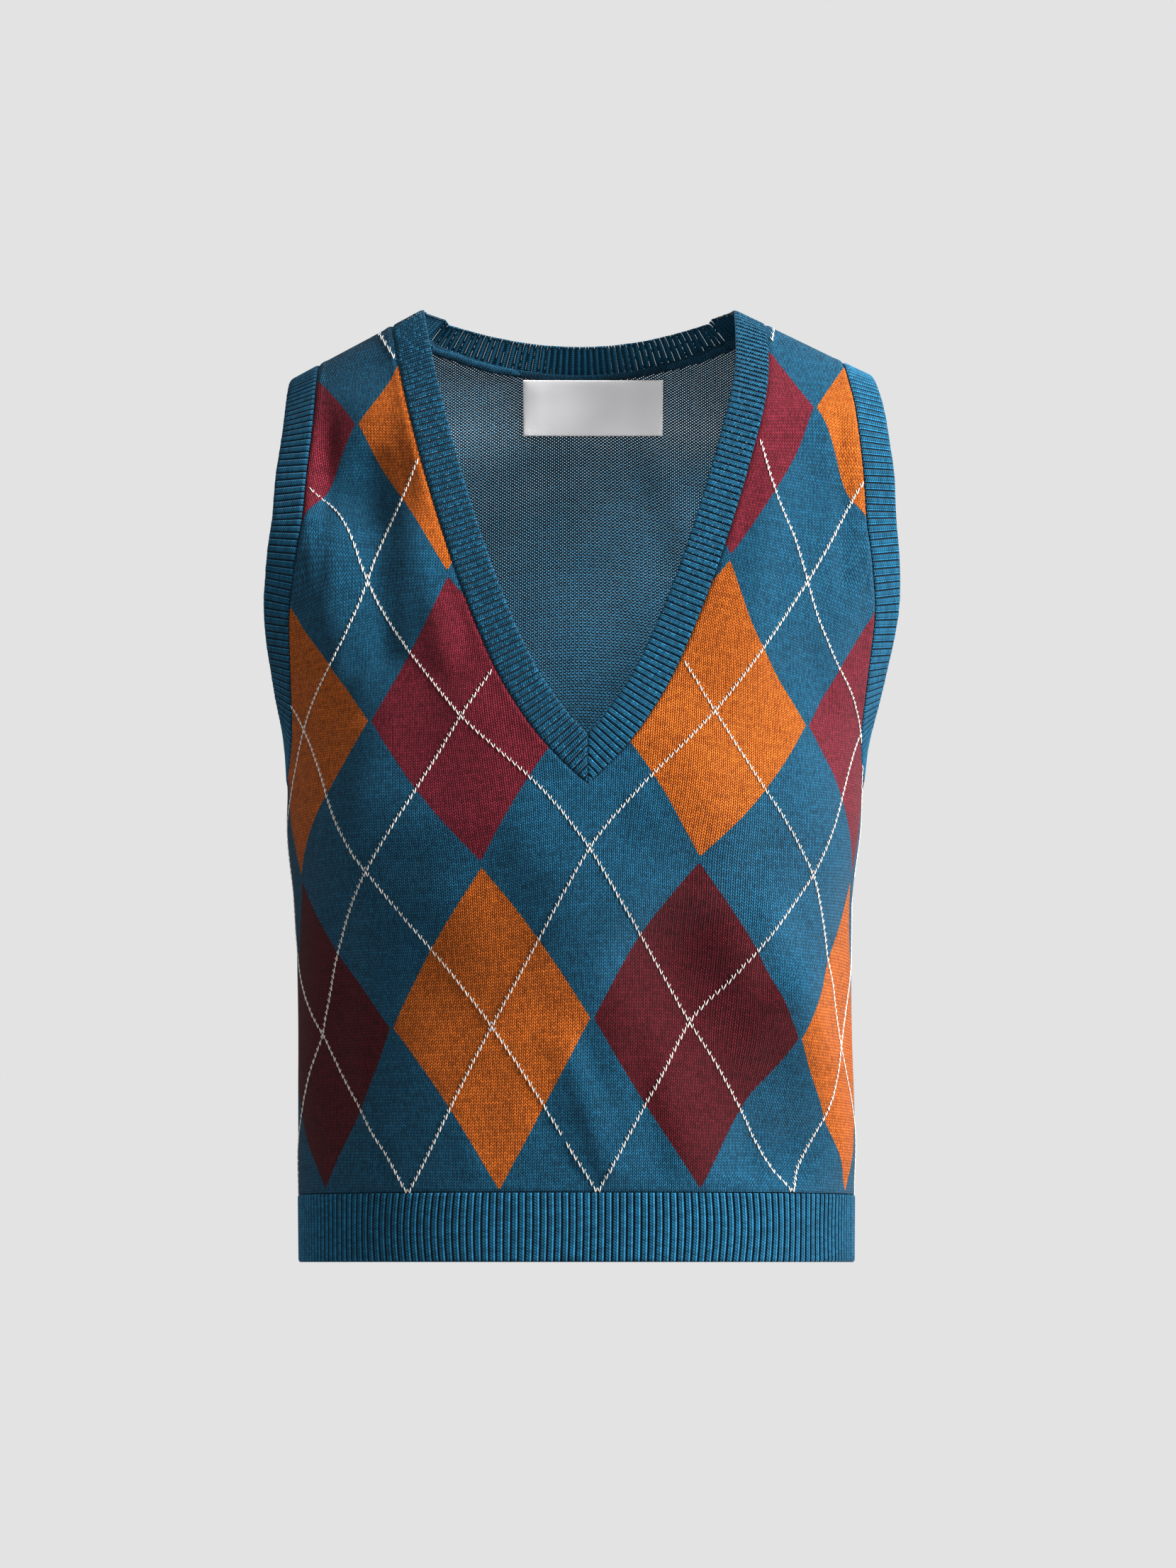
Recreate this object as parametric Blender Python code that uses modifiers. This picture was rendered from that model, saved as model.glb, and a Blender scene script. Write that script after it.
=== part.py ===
"""Sleeveless V-neck sweater vest: the solids of its cut and knitted pieces, hung as worn, empty inside.

Run with: blender --background --python part.py
X runs across the wearer, the wearer's left at +X. The front faces -Y and +Z is up.
The origin lies midway between the two highest points of the shoulders.
Sizes are in millimetres and angles in degrees; MM turns a size into Blender's metres.
"""

import math
from collections import namedtuple

import bmesh
import bpy
from mathutils import Vector

MM = 0.001
COLLECTION = "sweater_vest"

# Driving dimensions
LENGTH = 520.0              # highest shoulder point to hem
HEM_RIB_HEIGHT = 36.5
BODY_LENGTH = LENGTH - HEM_RIB_HEIGHT
NECK_HALF_WIDTH = 83.4      # centre to the highest shoulder point
SHOULDER_ROUND = 60.0       # height over which the shoulder rounds off to front and back
UNDERARM = -262.0           # height of the armhole seam at the side
V_POINT = -259.0            # height of the neck seam at the centre front
BACK_NECK = -32.2           # height of the neck seam at the centre back
BACK_NECK_HALF_WIDTH = 101.5
BACK_NECK_CURVE = 2.0       # exponent of that seam's climb to the shoulder
HEM_RISE = 0.109            # rise of the front hem, as a share of its distance from the sides
NECKBAND_WIDTH = 19.0
ARMBAND_WIDTH = 18.0
WALL = 1.8                  # thickness of the knitted cloth
SEAM_GAP = 0.3
RIB_RELIEF = 0.8
NECK_RIB_PITCH = 3.2
ARM_RIB_PITCH = 3.45
HEM_RIB_PITCH = 3.73
LABEL_WIDTH = 77.0
LABEL_HEIGHT = 29.0
LABEL_THICKNESS = 1.0
LABEL_CENTRE = 8.0
LABEL_TOP = -34.0
LABEL_CLEARANCE = 0.5

# Mesh density
FRONT_COLUMNS = 16          # on each side of the centre front
BACK_NECK_COLUMNS = 10      # from the centre back to the shoulder seam's inner end
BACK_SHOULDER_COLUMNS = 4   # from there to the armhole
SEAM_MARGIN = 0.6           # turn of the narrow first and last columns
SHOULDER_ANGLES = (0, 4, 12, 22, 33, 45, 57, 69, 90)
CHEST_ROWS = (76, 95, 114, 133, 152, 171, 190, 208)
ARMHOLE_ROWS = (222, 234, 244, 252, 259, 262)
WAIST_ROWS = (284, 309, 334, 359, 384, 409, 434, 460, 482)
SLOPE_FADE = 100.0          # height over which rows turn from the shoulder's slope to level
SETTLE_STEPS = 12
RIBS_PER_INNER_FACE = 4
TANGENT_REACH = 7.0         # a band's direction is taken over this far on each side
HEM_KNOTS = 120
LABEL_COLUMNS = 8
LABEL_ROWS = 4

PROBE = 0.05                # step over which the body's slope is measured
WELD = 0.001                # vertices closer than this are one
CREASE_ANGLE = 35.0         # faces that meet at more than this are shaded with an edge

SIDE_TURN = 90.0            # turn round the body at a side seam; the centre line is 0
FRONT, BACK = -1, 1         # sign of Y
WEARER_LEFT, WEARER_RIGHT = 1, -1
SHOULDER_SLOPES = {WEARER_LEFT: 25.8, WEARER_RIGHT: 28.0}

# The body's sections, from the shoulders down. half_width and the two depths are a
# superellipse's half-axes, square its exponent, and lean its centre's offset in X.
Section = namedtuple("Section", "z half_width front back square lean")
BODY = (
    Section(0, 196, 50, 56, 2.3, 0.0),
    Section(-30, 198, 60, 62, 2.3, 1.5),
    Section(-60, 201.5, 70, 72, 2.3, 3.6),
    Section(-100, 200.8, 83, 84, 2.3, 3.6),
    Section(-150, 189, 99, 93, 2.3, 3.0),
    Section(-200, 171, 112, 95, 2.3, 0.8),
    Section(-235, 159.6, 119, 93, 2.3, -0.8),
    Section(-262, 156.5, 121, 90, 2.3, -1.8),
    Section(-285, 155.8, 120, 88, 2.35, -2.7),
    Section(-325, 151.5, 117, 84, 2.4, -2.8),
    Section(-380, 150.5, 113, 80, 2.5, -2.0),
    Section(-440, 151.2, 110, 83, 2.5, -1.3),
    Section(-484, 151.0, 109, 87, 2.5, -1.1),
    Section(-520, 150.7, 108, 90, 2.5, -1.0),
)

# The V neck's seam: half its width at each height, and the X of its middle.
NeckSeam = namedtuple("NeckSeam", "z half_width middle")
V_NECK = (
    NeckSeam(-9, 101.5, 0.3),
    NeckSeam(-35, 99.2, 3.0),
    NeckSeam(-58, 94.9, 4.0),
    NeckSeam(-85, 87.9, 4.0),
    NeckSeam(-110, 80.6, 4.0),
    NeckSeam(-139, 71.2, 4.0),
    NeckSeam(-160, 63.6, 4.0),
    NeckSeam(-187, 52.5, 4.0),
    NeckSeam(-205, 43.8, 4.2),
    NeckSeam(-222, 33.4, 4.4),
    NeckSeam(-235, 23.8, 4.6),
    NeckSeam(-247, 12.8, 4.8),
    NeckSeam(-259, 0.0, 5.0),
)

# The armhole seams: how far round the body from the centre line they lie, at each height.
ArmholeSeam = namedtuple("ArmholeSeam", "z front back")
ARMHOLE = (
    ArmholeSeam(-30, 43.3, 43.3),
    ArmholeSeam(-60, 43.4, 43.5),
    ArmholeSeam(-81, 44.0, 44.6),
    ArmholeSeam(-104, 45.4, 46.0),
    ArmholeSeam(-120, 47.0, 47.2),
    ArmholeSeam(-136, 49.7, 49.2),
    ArmholeSeam(-152, 52.7, 51.2),
    ArmholeSeam(-166, 55.8, 53.2),
    ArmholeSeam(-183, 59.2, 56.0),
    ArmholeSeam(-202, 63.0, 59.0),
    ArmholeSeam(-216, 66.4, 61.2),
    ArmholeSeam(-228, 69.6, 63.6),
    ArmholeSeam(-240, 73.6, 67.2),
    ArmholeSeam(-249, 77.2, 71.8),
    ArmholeSeam(-255, 80.6, 76.7),
    ArmholeSeam(-259.5, 84.8, 82.7),
    ArmholeSeam(-262, 90.0, 90.0),
)

# The largest folds, as soft ridges (height above 0) and troughs (below 0) along a line.
Fold = namedtuple("Fold", "side x_top z_top x_low z_low spread height")
FOLDS = (
    Fold(FRONT, -90, -104, -70, -190, 15, 2.6),
    Fold(FRONT, -109, -90, -99, -188, 15, -2.8),
    Fold(FRONT, 104, -90, 92, -180, 15, 1.6),
    Fold(FRONT, 68, -352, 116, -430, 19, -4.2),
    Fold(FRONT, 102, -330, 132, -405, 17, 3.0),
    Fold(FRONT, 4, -396, 40, -450, 14, 2.2),
    Fold(FRONT, -122, -330, -132, -440, 18, -2.4),
    Fold(BACK, -52, -300, -86, -415, 24, -4.0),
    Fold(BACK, 60, -320, 88, -430, 22, -3.4),
    Fold(BACK, -10, -370, 14, -455, 20, 2.6),
)

TEAL = (0.020, 0.100, 0.170, 1.0)
SATIN = (0.60, 0.60, 0.61, 1.0)
KNIT_ROUGHNESS = 0.85
SATIN_ROUGHNESS = 0.4


def read(rows, column, z):
    """A table's column at height z, on a smooth curve through its rows."""
    z = max(min(z, rows[0].z), rows[-1].z)
    index = 0
    while rows[index + 1].z > z:
        index += 1

    def slope(at):
        above = rows[max(at - 1, 0)]
        below = rows[min(at + 1, len(rows) - 1)]
        return (getattr(above, column) - getattr(below, column)) / (above.z - below.z)

    upper, lower = rows[index], rows[index + 1]
    span = lower.z - upper.z
    t = (z - upper.z) / span
    return ((2 * t ** 3 - 3 * t ** 2 + 1) * getattr(upper, column)
            + (t ** 3 - 2 * t ** 2 + t) * span * slope(index)
            + (3 * t ** 2 - 2 * t ** 3) * getattr(lower, column)
            + (t ** 3 - t ** 2) * span * slope(index + 1))


def section_at(z):
    """The body's section at height z."""
    return Section(z, *(read(BODY, column, z) for column in Section._fields[1:]))


def signed_power(value, exponent):
    """A power that keeps the value's sign."""
    return math.copysign(abs(value) ** exponent, value)


def across(turn, z):
    """X at a turn round the body, counted from the centre line towards the wearer's left."""
    section = section_at(z)
    return section.lean + section.half_width * signed_power(
        math.sin(math.radians(turn)), 2 / section.square)


def turn_at(x, z):
    """The turn round the body at which it has this X."""
    section = section_at(z)
    reach = max(-1.0, min(1.0, (x - section.lean) / section.half_width))
    return math.degrees(math.asin(signed_power(reach, section.square / 2)))


def shoulder_line(x):
    """Height of the shoulder's crest: level inside the neck, sloping outside it."""
    slope = SHOULDER_SLOPES[WEARER_LEFT if x > 0 else WEARER_RIGHT]
    return -max(0.0, abs(x) - NECK_HALF_WIDTH) * math.tan(math.radians(slope))


def shoulder_share(x, z):
    """Share of the full depth just below the shoulder's crest, rounded like a quarter circle."""
    drop = min(1.0, max(0.0, (shoulder_line(x) - z) / SHOULDER_ROUND))
    return math.sqrt(1 - (1 - drop) ** 2)


def fold_height(side, x, z):
    """How far the folds lift the cloth off the plain body at a place."""
    height = 0.0
    for fold in FOLDS:
        if fold.side != side:
            continue
        run_x = fold.x_low - fold.x_top
        run_z = fold.z_low - fold.z_top
        along = ((x - fold.x_top) * run_x + (z - fold.z_top) * run_z) / (run_x ** 2 + run_z ** 2)
        along = max(0.0, min(1.0, along))
        off = math.hypot(x - fold.x_top - along * run_x, z - fold.z_top - along * run_z)
        if off < fold.spread:
            height += fold.height * math.cos(math.pi / 2 * off / fold.spread) ** 2
    return height


def cloth_point(side, turn, z):
    """A point of the cloth's outer face, in millimetres."""
    section = section_at(z)
    x = across(turn, z)
    half_depth = section.front if side == FRONT else section.back
    depth = half_depth * max(0.0, math.cos(math.radians(turn))) ** (2 / section.square)
    depth = depth * shoulder_share(x, z) + fold_height(side, x, z)
    gap = SEAM_GAP if side == BACK else 0.0
    return Vector((x, side * depth + gap, z))


def outward(side, point):
    """The body's outward direction at a point of its face, from the slope of its level set."""
    def level(x, y, z):
        section = section_at(z)
        half_depth = section.front if side == FRONT else section.back
        crest = shoulder_share(x, z) ** section.square
        wide = (abs(x - section.lean) / section.half_width) ** section.square
        return (abs(y) / half_depth) ** section.square + crest * (wide - 1)

    x, y, z = point
    z = min(z, shoulder_line(x) - 2 * PROBE)
    normal = Vector((level(x + PROBE, y, z) - level(x - PROBE, y, z),
                     level(x, y + PROBE, z) - level(x, y - PROBE, z),
                     level(x, y, z + PROBE) - level(x, y, z - PROBE)))
    return normal.normalized()


def inner_turn(side, sign, z):
    """Turn of a panel's centre line, or of the V neck's seam above its point, at height z."""
    if side == BACK:
        return turn_at(0.0, z)
    return turn_at(read(V_NECK, "middle", z) + sign * read(V_NECK, "half_width", z), z)


def outer_turn(side, z):
    """Turn of the side seam, or of the armhole seam above the underarm, at height z."""
    if z <= UNDERARM:
        return SIDE_TURN
    column = "front" if side == FRONT else "back"
    return min(SIDE_TURN, read(ARMHOLE, column, z))


def top_line(side, x):
    """Height of a panel's top: the shoulder seam, and on the back the neck seam inside it."""
    if side == BACK and abs(x) < BACK_NECK_HALF_WIDTH:
        end = shoulder_line(math.copysign(BACK_NECK_HALF_WIDTH, x)) - BACK_NECK
        return BACK_NECK + end * (abs(x) / BACK_NECK_HALF_WIDTH) ** BACK_NECK_CURVE
    return shoulder_line(x)


def hem_rise(side, turn, z):
    """How much higher than at the sides the hem hangs, since the bust takes up the front's length."""
    return HEM_RISE * abs(cloth_point(side, turn, z).y) if side == FRONT else 0.0


def row_point(side, sign, drop, share):
    """A panel's point: drop below its top line, share of the way from inner to outer edge."""
    fade = max(0.0, min(1.0, 1 - (drop - SHOULDER_ROUND) / SLOPE_FADE))
    low = max(0.0, (drop + UNDERARM) / (BODY_LENGTH + UNDERARM))
    z = -drop
    for _ in range(SETTLE_STEPS):
        inner = inner_turn(side, sign, z)
        turn = inner + (sign * outer_turn(side, z) - inner) * share
        z = top_line(side, across(turn, z)) * fade - drop + low * hem_rise(side, turn, z)
    return cloth_point(side, turn, z)


def row_drops():
    """Drops of a panel's rows, from its top line to the hem rib."""
    shoulder = [SHOULDER_ROUND * (1 - math.cos(math.radians(angle))) for angle in SHOULDER_ANGLES]
    return (*shoulder, *CHEST_ROWS, *ARMHOLE_ROWS, *WAIST_ROWS, BODY_LENGTH)


def with_margins(shares):
    """Adds a narrow column inside each end, so that the wall's rims stand square to the cloth."""
    margin = SEAM_MARGIN / SIDE_TURN
    return (shares[0], shares[0] + margin, *shares[1:-1], shares[-1] - margin, shares[-1])


def front_shares():
    """Shares of the front panel's columns."""
    even = [column / FRONT_COLUMNS for column in range(FRONT_COLUMNS + 1)]
    return with_margins(even)


def back_shares(sign):
    """Shares of the back panel's columns, one of which ends at the shoulder seam's inner end."""
    crest = shoulder_line(sign * BACK_NECK_HALF_WIDTH)
    inner = inner_turn(BACK, sign, crest)
    corner = turn_at(sign * BACK_NECK_HALF_WIDTH, crest) - inner
    corner /= sign * outer_turn(BACK, crest) - inner
    neck = [corner * column / BACK_NECK_COLUMNS for column in range(BACK_NECK_COLUMNS)]
    shoulder = [corner + (1 - corner) * column / BACK_SHOULDER_COLUMNS
                for column in range(BACK_SHOULDER_COLUMNS + 1)]
    return with_margins((*neck, *shoulder))


def new_object(name, mesh, color, roughness):
    """An object for a finished mesh, in the vest's collection, with its own material."""
    material = bpy.data.materials.new(name)
    material.use_nodes = True
    shader = material.node_tree.nodes["Principled BSDF"]
    shader.inputs["Base Color"].default_value = color
    shader.inputs["Roughness"].default_value = roughness
    shader.inputs["Metallic"].default_value = 0.0
    mesh.materials.append(material)
    mesh.shade_smooth()
    mesh.set_sharp_from_angle(angle=math.radians(CREASE_ANGLE))
    item = bpy.data.objects.new(name, mesh)
    bpy.data.collections[COLLECTION].objects.link(item)
    return item


def mesh_from(bm, name):
    """A mesh from bm, which is freed."""
    mesh = bpy.data.meshes.new(name)
    bm.to_mesh(mesh)
    bm.free()
    return mesh


def thicken(item, thickness):
    """A wall of even thickness, inside the modelled face."""
    wall = item.modifiers.new("Wall", "SOLIDIFY")
    wall.thickness = thickness * MM
    wall.offset = -1.0


def add_surface(bm, columns, rows, place):
    """A grid whose vertices are placed by column and row, seen face on with row 0 at the top."""
    made = bmesh.ops.create_grid(bm, x_segments=columns, y_segments=rows, size=1.0)
    for vert in made["verts"]:
        column = round((vert.co.x + 1) / 2 * columns)
        row = round((1 - vert.co.y) / 2 * rows)
        vert.co = place(column, row) * MM


def make_panel(name, side, shares_of):
    """The front or back panel: a half on each side of the centre line, joined below the neck."""
    bm = bmesh.new()
    drops = row_drops()
    for sign in (WEARER_LEFT, WEARER_RIGHT):
        shares = shares_of(sign)
        points = [[row_point(side, sign, drop, share) for share in shares] for drop in drops]
        if side * sign > 0:
            points = [row[::-1] for row in points]
        add_surface(bm, len(shares) - 1, len(drops) - 1, lambda column, row: points[row][column])
    bmesh.ops.remove_doubles(bm, verts=bm.verts, dist=WELD * MM)
    panel = new_object(name, mesh_from(bm, name), TEAL, KNIT_ROUGHNESS)
    thicken(panel, WALL)


class Path:
    """A seam's route over the body: straight runs between the panels' own boundary points."""

    def __init__(self, knots, closed=False):
        self.points = [point for _, point in knots]
        self.normals = [outward(side, point) for side, point in knots]
        if closed:
            self.points.append(self.points[0])
            self.normals.append(self.normals[0])
        self.closed = closed
        self.marks = [0.0]
        for start, end in zip(self.points, self.points[1:]):
            self.marks.append(self.marks[-1] + (end - start).length)
        self.length = self.marks[-1]

    def _find(self, distance):
        """The run that holds a distance along the route, and the share of that run before it."""
        distance = distance % self.length if self.closed else max(0.0, min(self.length, distance))
        index = 0
        while index < len(self.marks) - 2 and self.marks[index + 1] < distance:
            index += 1
        run = self.marks[index + 1] - self.marks[index]
        return index, (distance - self.marks[index]) / run

    def point(self, distance):
        index, t = self._find(distance)
        return self.points[index].lerp(self.points[index + 1], t)

    def normal(self, distance):
        index, t = self._find(distance)
        return self.normals[index].lerp(self.normals[index + 1], t).normalized()

    def direction(self, distance):
        """The route's direction, smoothed over its corners."""
        ahead = self.point(distance + TANGENT_REACH)
        behind = self.point(distance - TANGENT_REACH)
        return (ahead - behind).normalized()


def band_stations(path, ribs, width):
    """Seam point, free edge and outward direction at each valley and crest of a band's ribs."""
    stations = []
    steps = 2 * ribs
    for step in range(steps if path.closed else steps + 1):
        distance = path.length * step / steps
        normal = path.normal(distance)
        out = normal.cross(path.direction(distance)).normalized()
        seam = path.point(distance) + out * SEAM_GAP
        stations.append((seam, seam + out * width, normal))
    return stations


def rib_wall(bm, stations, closed=False, capped=(True, True)):
    """A wall with its ribs raised on the outer face, between seam and free edge, plain inside.

    The plain face spans several ribs at a time, so each rim is a fan between unlike rows.
    """
    outer, inner = [], {}
    last = len(stations) if closed else len(stations) - 1
    inner_steps = sorted({*range(0, last, 2 * RIBS_PER_INNER_FACE), last})
    for step, (seam, edge, normal) in enumerate(stations):
        lift = normal * (RIB_RELIEF if step % 2 else 0.0)
        outer.append([bm.verts.new((point + lift) * MM) for point in (seam, edge)])
        if step in inner_steps:
            inner[step] = [bm.verts.new((point - normal * WALL) * MM) for point in (seam, edge)]
    if closed:
        outer.append(outer[0])
        inner[last] = inner[0]
    for step in range(last):
        bm.faces.new((outer[step][0], outer[step + 1][0], outer[step + 1][1], outer[step][1]))
    for start, end in zip(inner_steps, inner_steps[1:]):
        bm.faces.new((inner[start][0], inner[start][1], inner[end][1], inner[end][0]))
        middle = (start + end) // 2
        for rim in (0, 1):
            for step in range(start, end):
                near = inner[start] if step < middle else inner[end]
                bm.faces.new((near[rim], outer[step][rim], outer[step + 1][rim]))
            bm.faces.new((inner[start][rim], outer[middle][rim], inner[end][rim]))
    for step, cap in zip((0, last), capped):
        if cap and not closed:
            bm.faces.new((outer[step][0], outer[step][1], inner[step][1], inner[step][0]))


def finish_band(bm, name):
    """An object for a band, its faces turned outwards."""
    bmesh.ops.recalc_face_normals(bm, faces=bm.faces)
    new_object(name, mesh_from(bm, name), TEAL, KNIT_ROUGHNESS)


def make_armband(name, sign):
    """An armband: one ring of ribs, up the front of the armhole and down its back."""
    drops = [drop for drop in row_drops() if drop <= -UNDERARM]
    front = [(FRONT, row_point(FRONT, sign, drop, 1.0)) for drop in reversed(drops)]
    back = [(BACK, row_point(BACK, sign, drop, 1.0)) for drop in drops]
    knots = front + back
    if sign == WEARER_LEFT:
        knots = knots[::-1]
    path = Path(knots, closed=True)
    ribs = round(path.length / ARM_RIB_PITCH)
    bm = bmesh.new()
    rib_wall(bm, band_stations(path, ribs, ARMBAND_WIDTH), closed=True)
    finish_band(bm, name)


def cut_mitre(bm, sign):
    """Cuts a neckband half upright at the centre front and closes the cut."""
    place = Vector((read(V_NECK, "middle", V_POINT) + sign * SEAM_GAP / 2, 0, 0)) * MM
    faces = [face for face in bm.faces if face.calc_center_median().y < 0]
    parts = {*faces}
    for face in faces:
        parts.update(face.edges, face.verts)
    made = bmesh.ops.bisect_plane(bm, geom=list(parts), plane_co=place, plane_no=(-sign, 0, 0),
                                  clear_outer=True)
    rim = [item for item in made["geom_cut"]
           if isinstance(item, bmesh.types.BMEdge) and item.is_boundary]
    bmesh.ops.holes_fill(bm, edges=rim)


def neck_knots(sign):
    """The neck seam on one side of the wearer, from the V's point to the centre back."""
    front = [(FRONT, row_point(FRONT, sign, drop, 0.0)) for drop in row_drops() if drop <= -V_POINT]
    neck_shares = back_shares(sign)[:BACK_NECK_COLUMNS + 2]
    back = [(BACK, row_point(BACK, sign, 0.0, share)) for share in neck_shares]
    return front[::-1] + back[::-1]


def make_neckband():
    """The neckband: from a mitre at the centre front round both shoulders and back to it."""
    path = Path(neck_knots(WEARER_LEFT) + neck_knots(WEARER_RIGHT)[-2::-1])
    ribs = 2 * round(path.length / NECK_RIB_PITCH / 2)
    stations = band_stations(path, ribs, NECKBAND_WIDTH)
    bm = bmesh.new()
    for sign, part in ((WEARER_LEFT, stations[:ribs + 1]), (WEARER_RIGHT, stations[ribs:])):
        half = bmesh.new()
        rib_wall(half, part, capped=(False, False))
        cut_mitre(half, sign)
        mesh = mesh_from(half, "neckband_half")
        bm.from_mesh(mesh)
        bpy.data.meshes.remove(mesh)
    bmesh.ops.remove_doubles(bm, verts=bm.verts, dist=WELD * MM)
    finish_band(bm, "neckband")


def hem_ring(side, height):
    """A route along the hem's outer face from side seam to side seam, at a height at the sides."""
    knots = []
    for knot in range(HEM_KNOTS + 1):
        turn = SIDE_TURN * (2 * knot / HEM_KNOTS - 1)
        point = cloth_point(side, turn, height + hem_rise(side, turn, height))
        knots.append((side, point))
    return Path(knots)


def make_hem_rib(name, side):
    """The hem rib's front or back: upright ribs from side seam to side seam."""
    top = hem_ring(side, -BODY_LENGTH - SEAM_GAP)
    bottom = hem_ring(side, -LENGTH)
    ribs = round(top.length / HEM_RIB_PITCH)
    stations = []
    for step in range(2 * ribs + 1):
        share = step / (2 * ribs)
        along = share * top.length
        stations.append((top.point(along), bottom.point(share * bottom.length), top.normal(along)))
    bm = bmesh.new()
    rib_wall(bm, stations)
    finish_band(bm, name)


def make_label():
    """The woven label, bare, inside the back just below the neckband; its face looks forward."""
    depth = WALL + LABEL_CLEARANCE + LABEL_THICKNESS

    def place(column, row):
        x = LABEL_CENTRE + LABEL_WIDTH * (column / LABEL_COLUMNS - 0.5)
        z = LABEL_TOP - LABEL_HEIGHT * row / LABEL_ROWS
        face = cloth_point(BACK, turn_at(x, z), z)
        return face - outward(BACK, face) * depth

    bm = bmesh.new()
    add_surface(bm, LABEL_COLUMNS, LABEL_ROWS, place)
    label = new_object("label", mesh_from(bm, "label"), SATIN, SATIN_ROUGHNESS)
    thicken(label, LABEL_THICKNESS)


def main():
    for item in list(bpy.data.objects):
        bpy.data.objects.remove(item)
    collection = bpy.data.collections.new(COLLECTION)
    bpy.context.scene.collection.children.link(collection)
    make_panel("front_panel", FRONT, lambda sign: front_shares())
    make_panel("back_panel", BACK, back_shares)
    make_neckband()
    make_armband("armband_left", WEARER_LEFT)
    make_armband("armband_right", WEARER_RIGHT)
    make_hem_rib("hem_rib_front", FRONT)
    make_hem_rib("hem_rib_back", BACK)
    make_label()


main()
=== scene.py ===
"""Knitted argyle sweater vest: its cloth, ribs, stitching and label, dressed over the fixed frame.

X runs across the wearer, the wearer's left at +X. The front faces -Y and +Z is up.
Surfaces are worked out in millimetres, in numpy arrays; MM turns them into Blender's metres.
"""

import math
from collections import namedtuple

import bmesh
import bpy
import numpy as np
from mathutils import Matrix, Vector


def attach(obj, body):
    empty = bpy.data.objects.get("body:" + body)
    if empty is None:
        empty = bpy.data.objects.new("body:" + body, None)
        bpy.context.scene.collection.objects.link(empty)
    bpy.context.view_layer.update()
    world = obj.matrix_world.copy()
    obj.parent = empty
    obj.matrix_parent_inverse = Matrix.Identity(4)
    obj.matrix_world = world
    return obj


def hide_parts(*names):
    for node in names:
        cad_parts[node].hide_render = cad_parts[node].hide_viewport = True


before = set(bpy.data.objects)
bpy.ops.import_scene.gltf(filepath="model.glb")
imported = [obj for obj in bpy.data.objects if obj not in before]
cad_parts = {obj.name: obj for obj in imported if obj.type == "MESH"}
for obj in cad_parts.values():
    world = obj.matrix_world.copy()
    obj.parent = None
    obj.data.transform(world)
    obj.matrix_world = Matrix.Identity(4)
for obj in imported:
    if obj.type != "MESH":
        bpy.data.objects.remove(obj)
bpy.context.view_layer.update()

bl_info = {
    "name": "Knitted argyle vest",
    "version": (1, 0, 0),
    "blender": (4, 5, 0),
    "location": "3D View > Sidebar > Vest",
    "description": "Builds the knitted cloth, ribs, stitching and label of a sweater vest",
    "category": "Add Mesh",
}

BODY_NAME = "root"
MM = 0.001
FRONT, BACK = -1, 1
WEARER_LEFT, WEARER_RIGHT = 1, -1
HANDS = ((WEARER_LEFT, "left"), (WEARER_RIGHT, "right"))


def table(kind, rows):
    """Rows of plain numbers as rows of named ones."""
    return tuple(kind(*row) for row in rows)


# The frame's own sizes, in millimetres and degrees. Heights are measured up from the shoulders.
LENGTH = 520.0
HEM_RIB_HEIGHT = 36.5
BODY_LENGTH = LENGTH - HEM_RIB_HEIGHT
NECK_HALF_WIDTH = 83.4
SHOULDER_ROUND = 60.0
SHOULDER_SLOPES = {WEARER_LEFT: 25.8, WEARER_RIGHT: 28.0}
UNDERARM = -262.0
SIDE_TURN = 90.0
V_POINT = -259.0
BACK_NECK = -32.2
BACK_NECK_HALF_WIDTH = 101.5
BACK_NECK_CURVE = 2.0
BACK_NECK_STAND = 1.5
HEM_RISE = 0.109
NECKBAND_WIDTH = 19.0
ARMBAND_WIDTH = 18.0
NECK_RIB_PITCH = 3.65
ARM_RIB_PITCH = 3.9
HEM_RIB_PITCH = 3.75
CAD_WALL = 1.8
SEAM_GAP = 0.3
KNIT_GAP = 0.12
LABEL_WIDTH = 78.4
LABEL_HEIGHT = 31.0
LABEL_CENTRE = 8.0
LABEL_TOP = -31.7

# The body's level sections: half width, depth in front and behind, squareness of the outline,
# and how far its middle lies to the wearer's left.
Section = namedtuple("Section", "z half_width front back square lean")
BODY = table(Section, (
    (0, 196, 50, 56, 2.3, 0.0), (-30, 198, 60, 62, 2.3, 1.5), (-60, 201.5, 70, 72, 2.3, 3.6),
    (-100, 200.8, 83, 84, 2.3, 3.6), (-150, 189, 99, 93, 2.3, 3.0),
    (-200, 171, 112, 95, 2.3, 0.8), (-235, 159.6, 119, 93, 2.3, -0.8),
    (-262, 156.5, 121, 90, 2.3, -1.8), (-285, 155.8, 120, 88, 2.35, -2.7),
    (-325, 151.5, 117, 84, 2.4, -2.8), (-380, 150.5, 113, 80, 2.5, -2.0),
    (-440, 151.2, 110, 83, 2.5, -1.3), (-484, 151.0, 109, 87, 2.5, -1.1),
    (-520, 150.7, 108, 90, 2.5, -1.0),
))

# The V neck's seam: half width at each height, and where its middle is.
NeckSeam = namedtuple("NeckSeam", "z half_width middle")
V_NECK = table(NeckSeam, (
    (-9, 101.5, 0.3), (-35, 99.2, 3.0), (-58, 94.9, 4.0), (-85, 87.9, 4.0), (-110, 80.6, 4.0),
    (-139, 71.2, 4.0), (-160, 63.6, 4.0), (-187, 52.5, 4.0), (-205, 43.8, 4.2), (-222, 33.4, 4.4),
    (-235, 23.8, 4.6), (-247, 12.8, 4.8), (-259, 0.0, 5.0),
))

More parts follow.
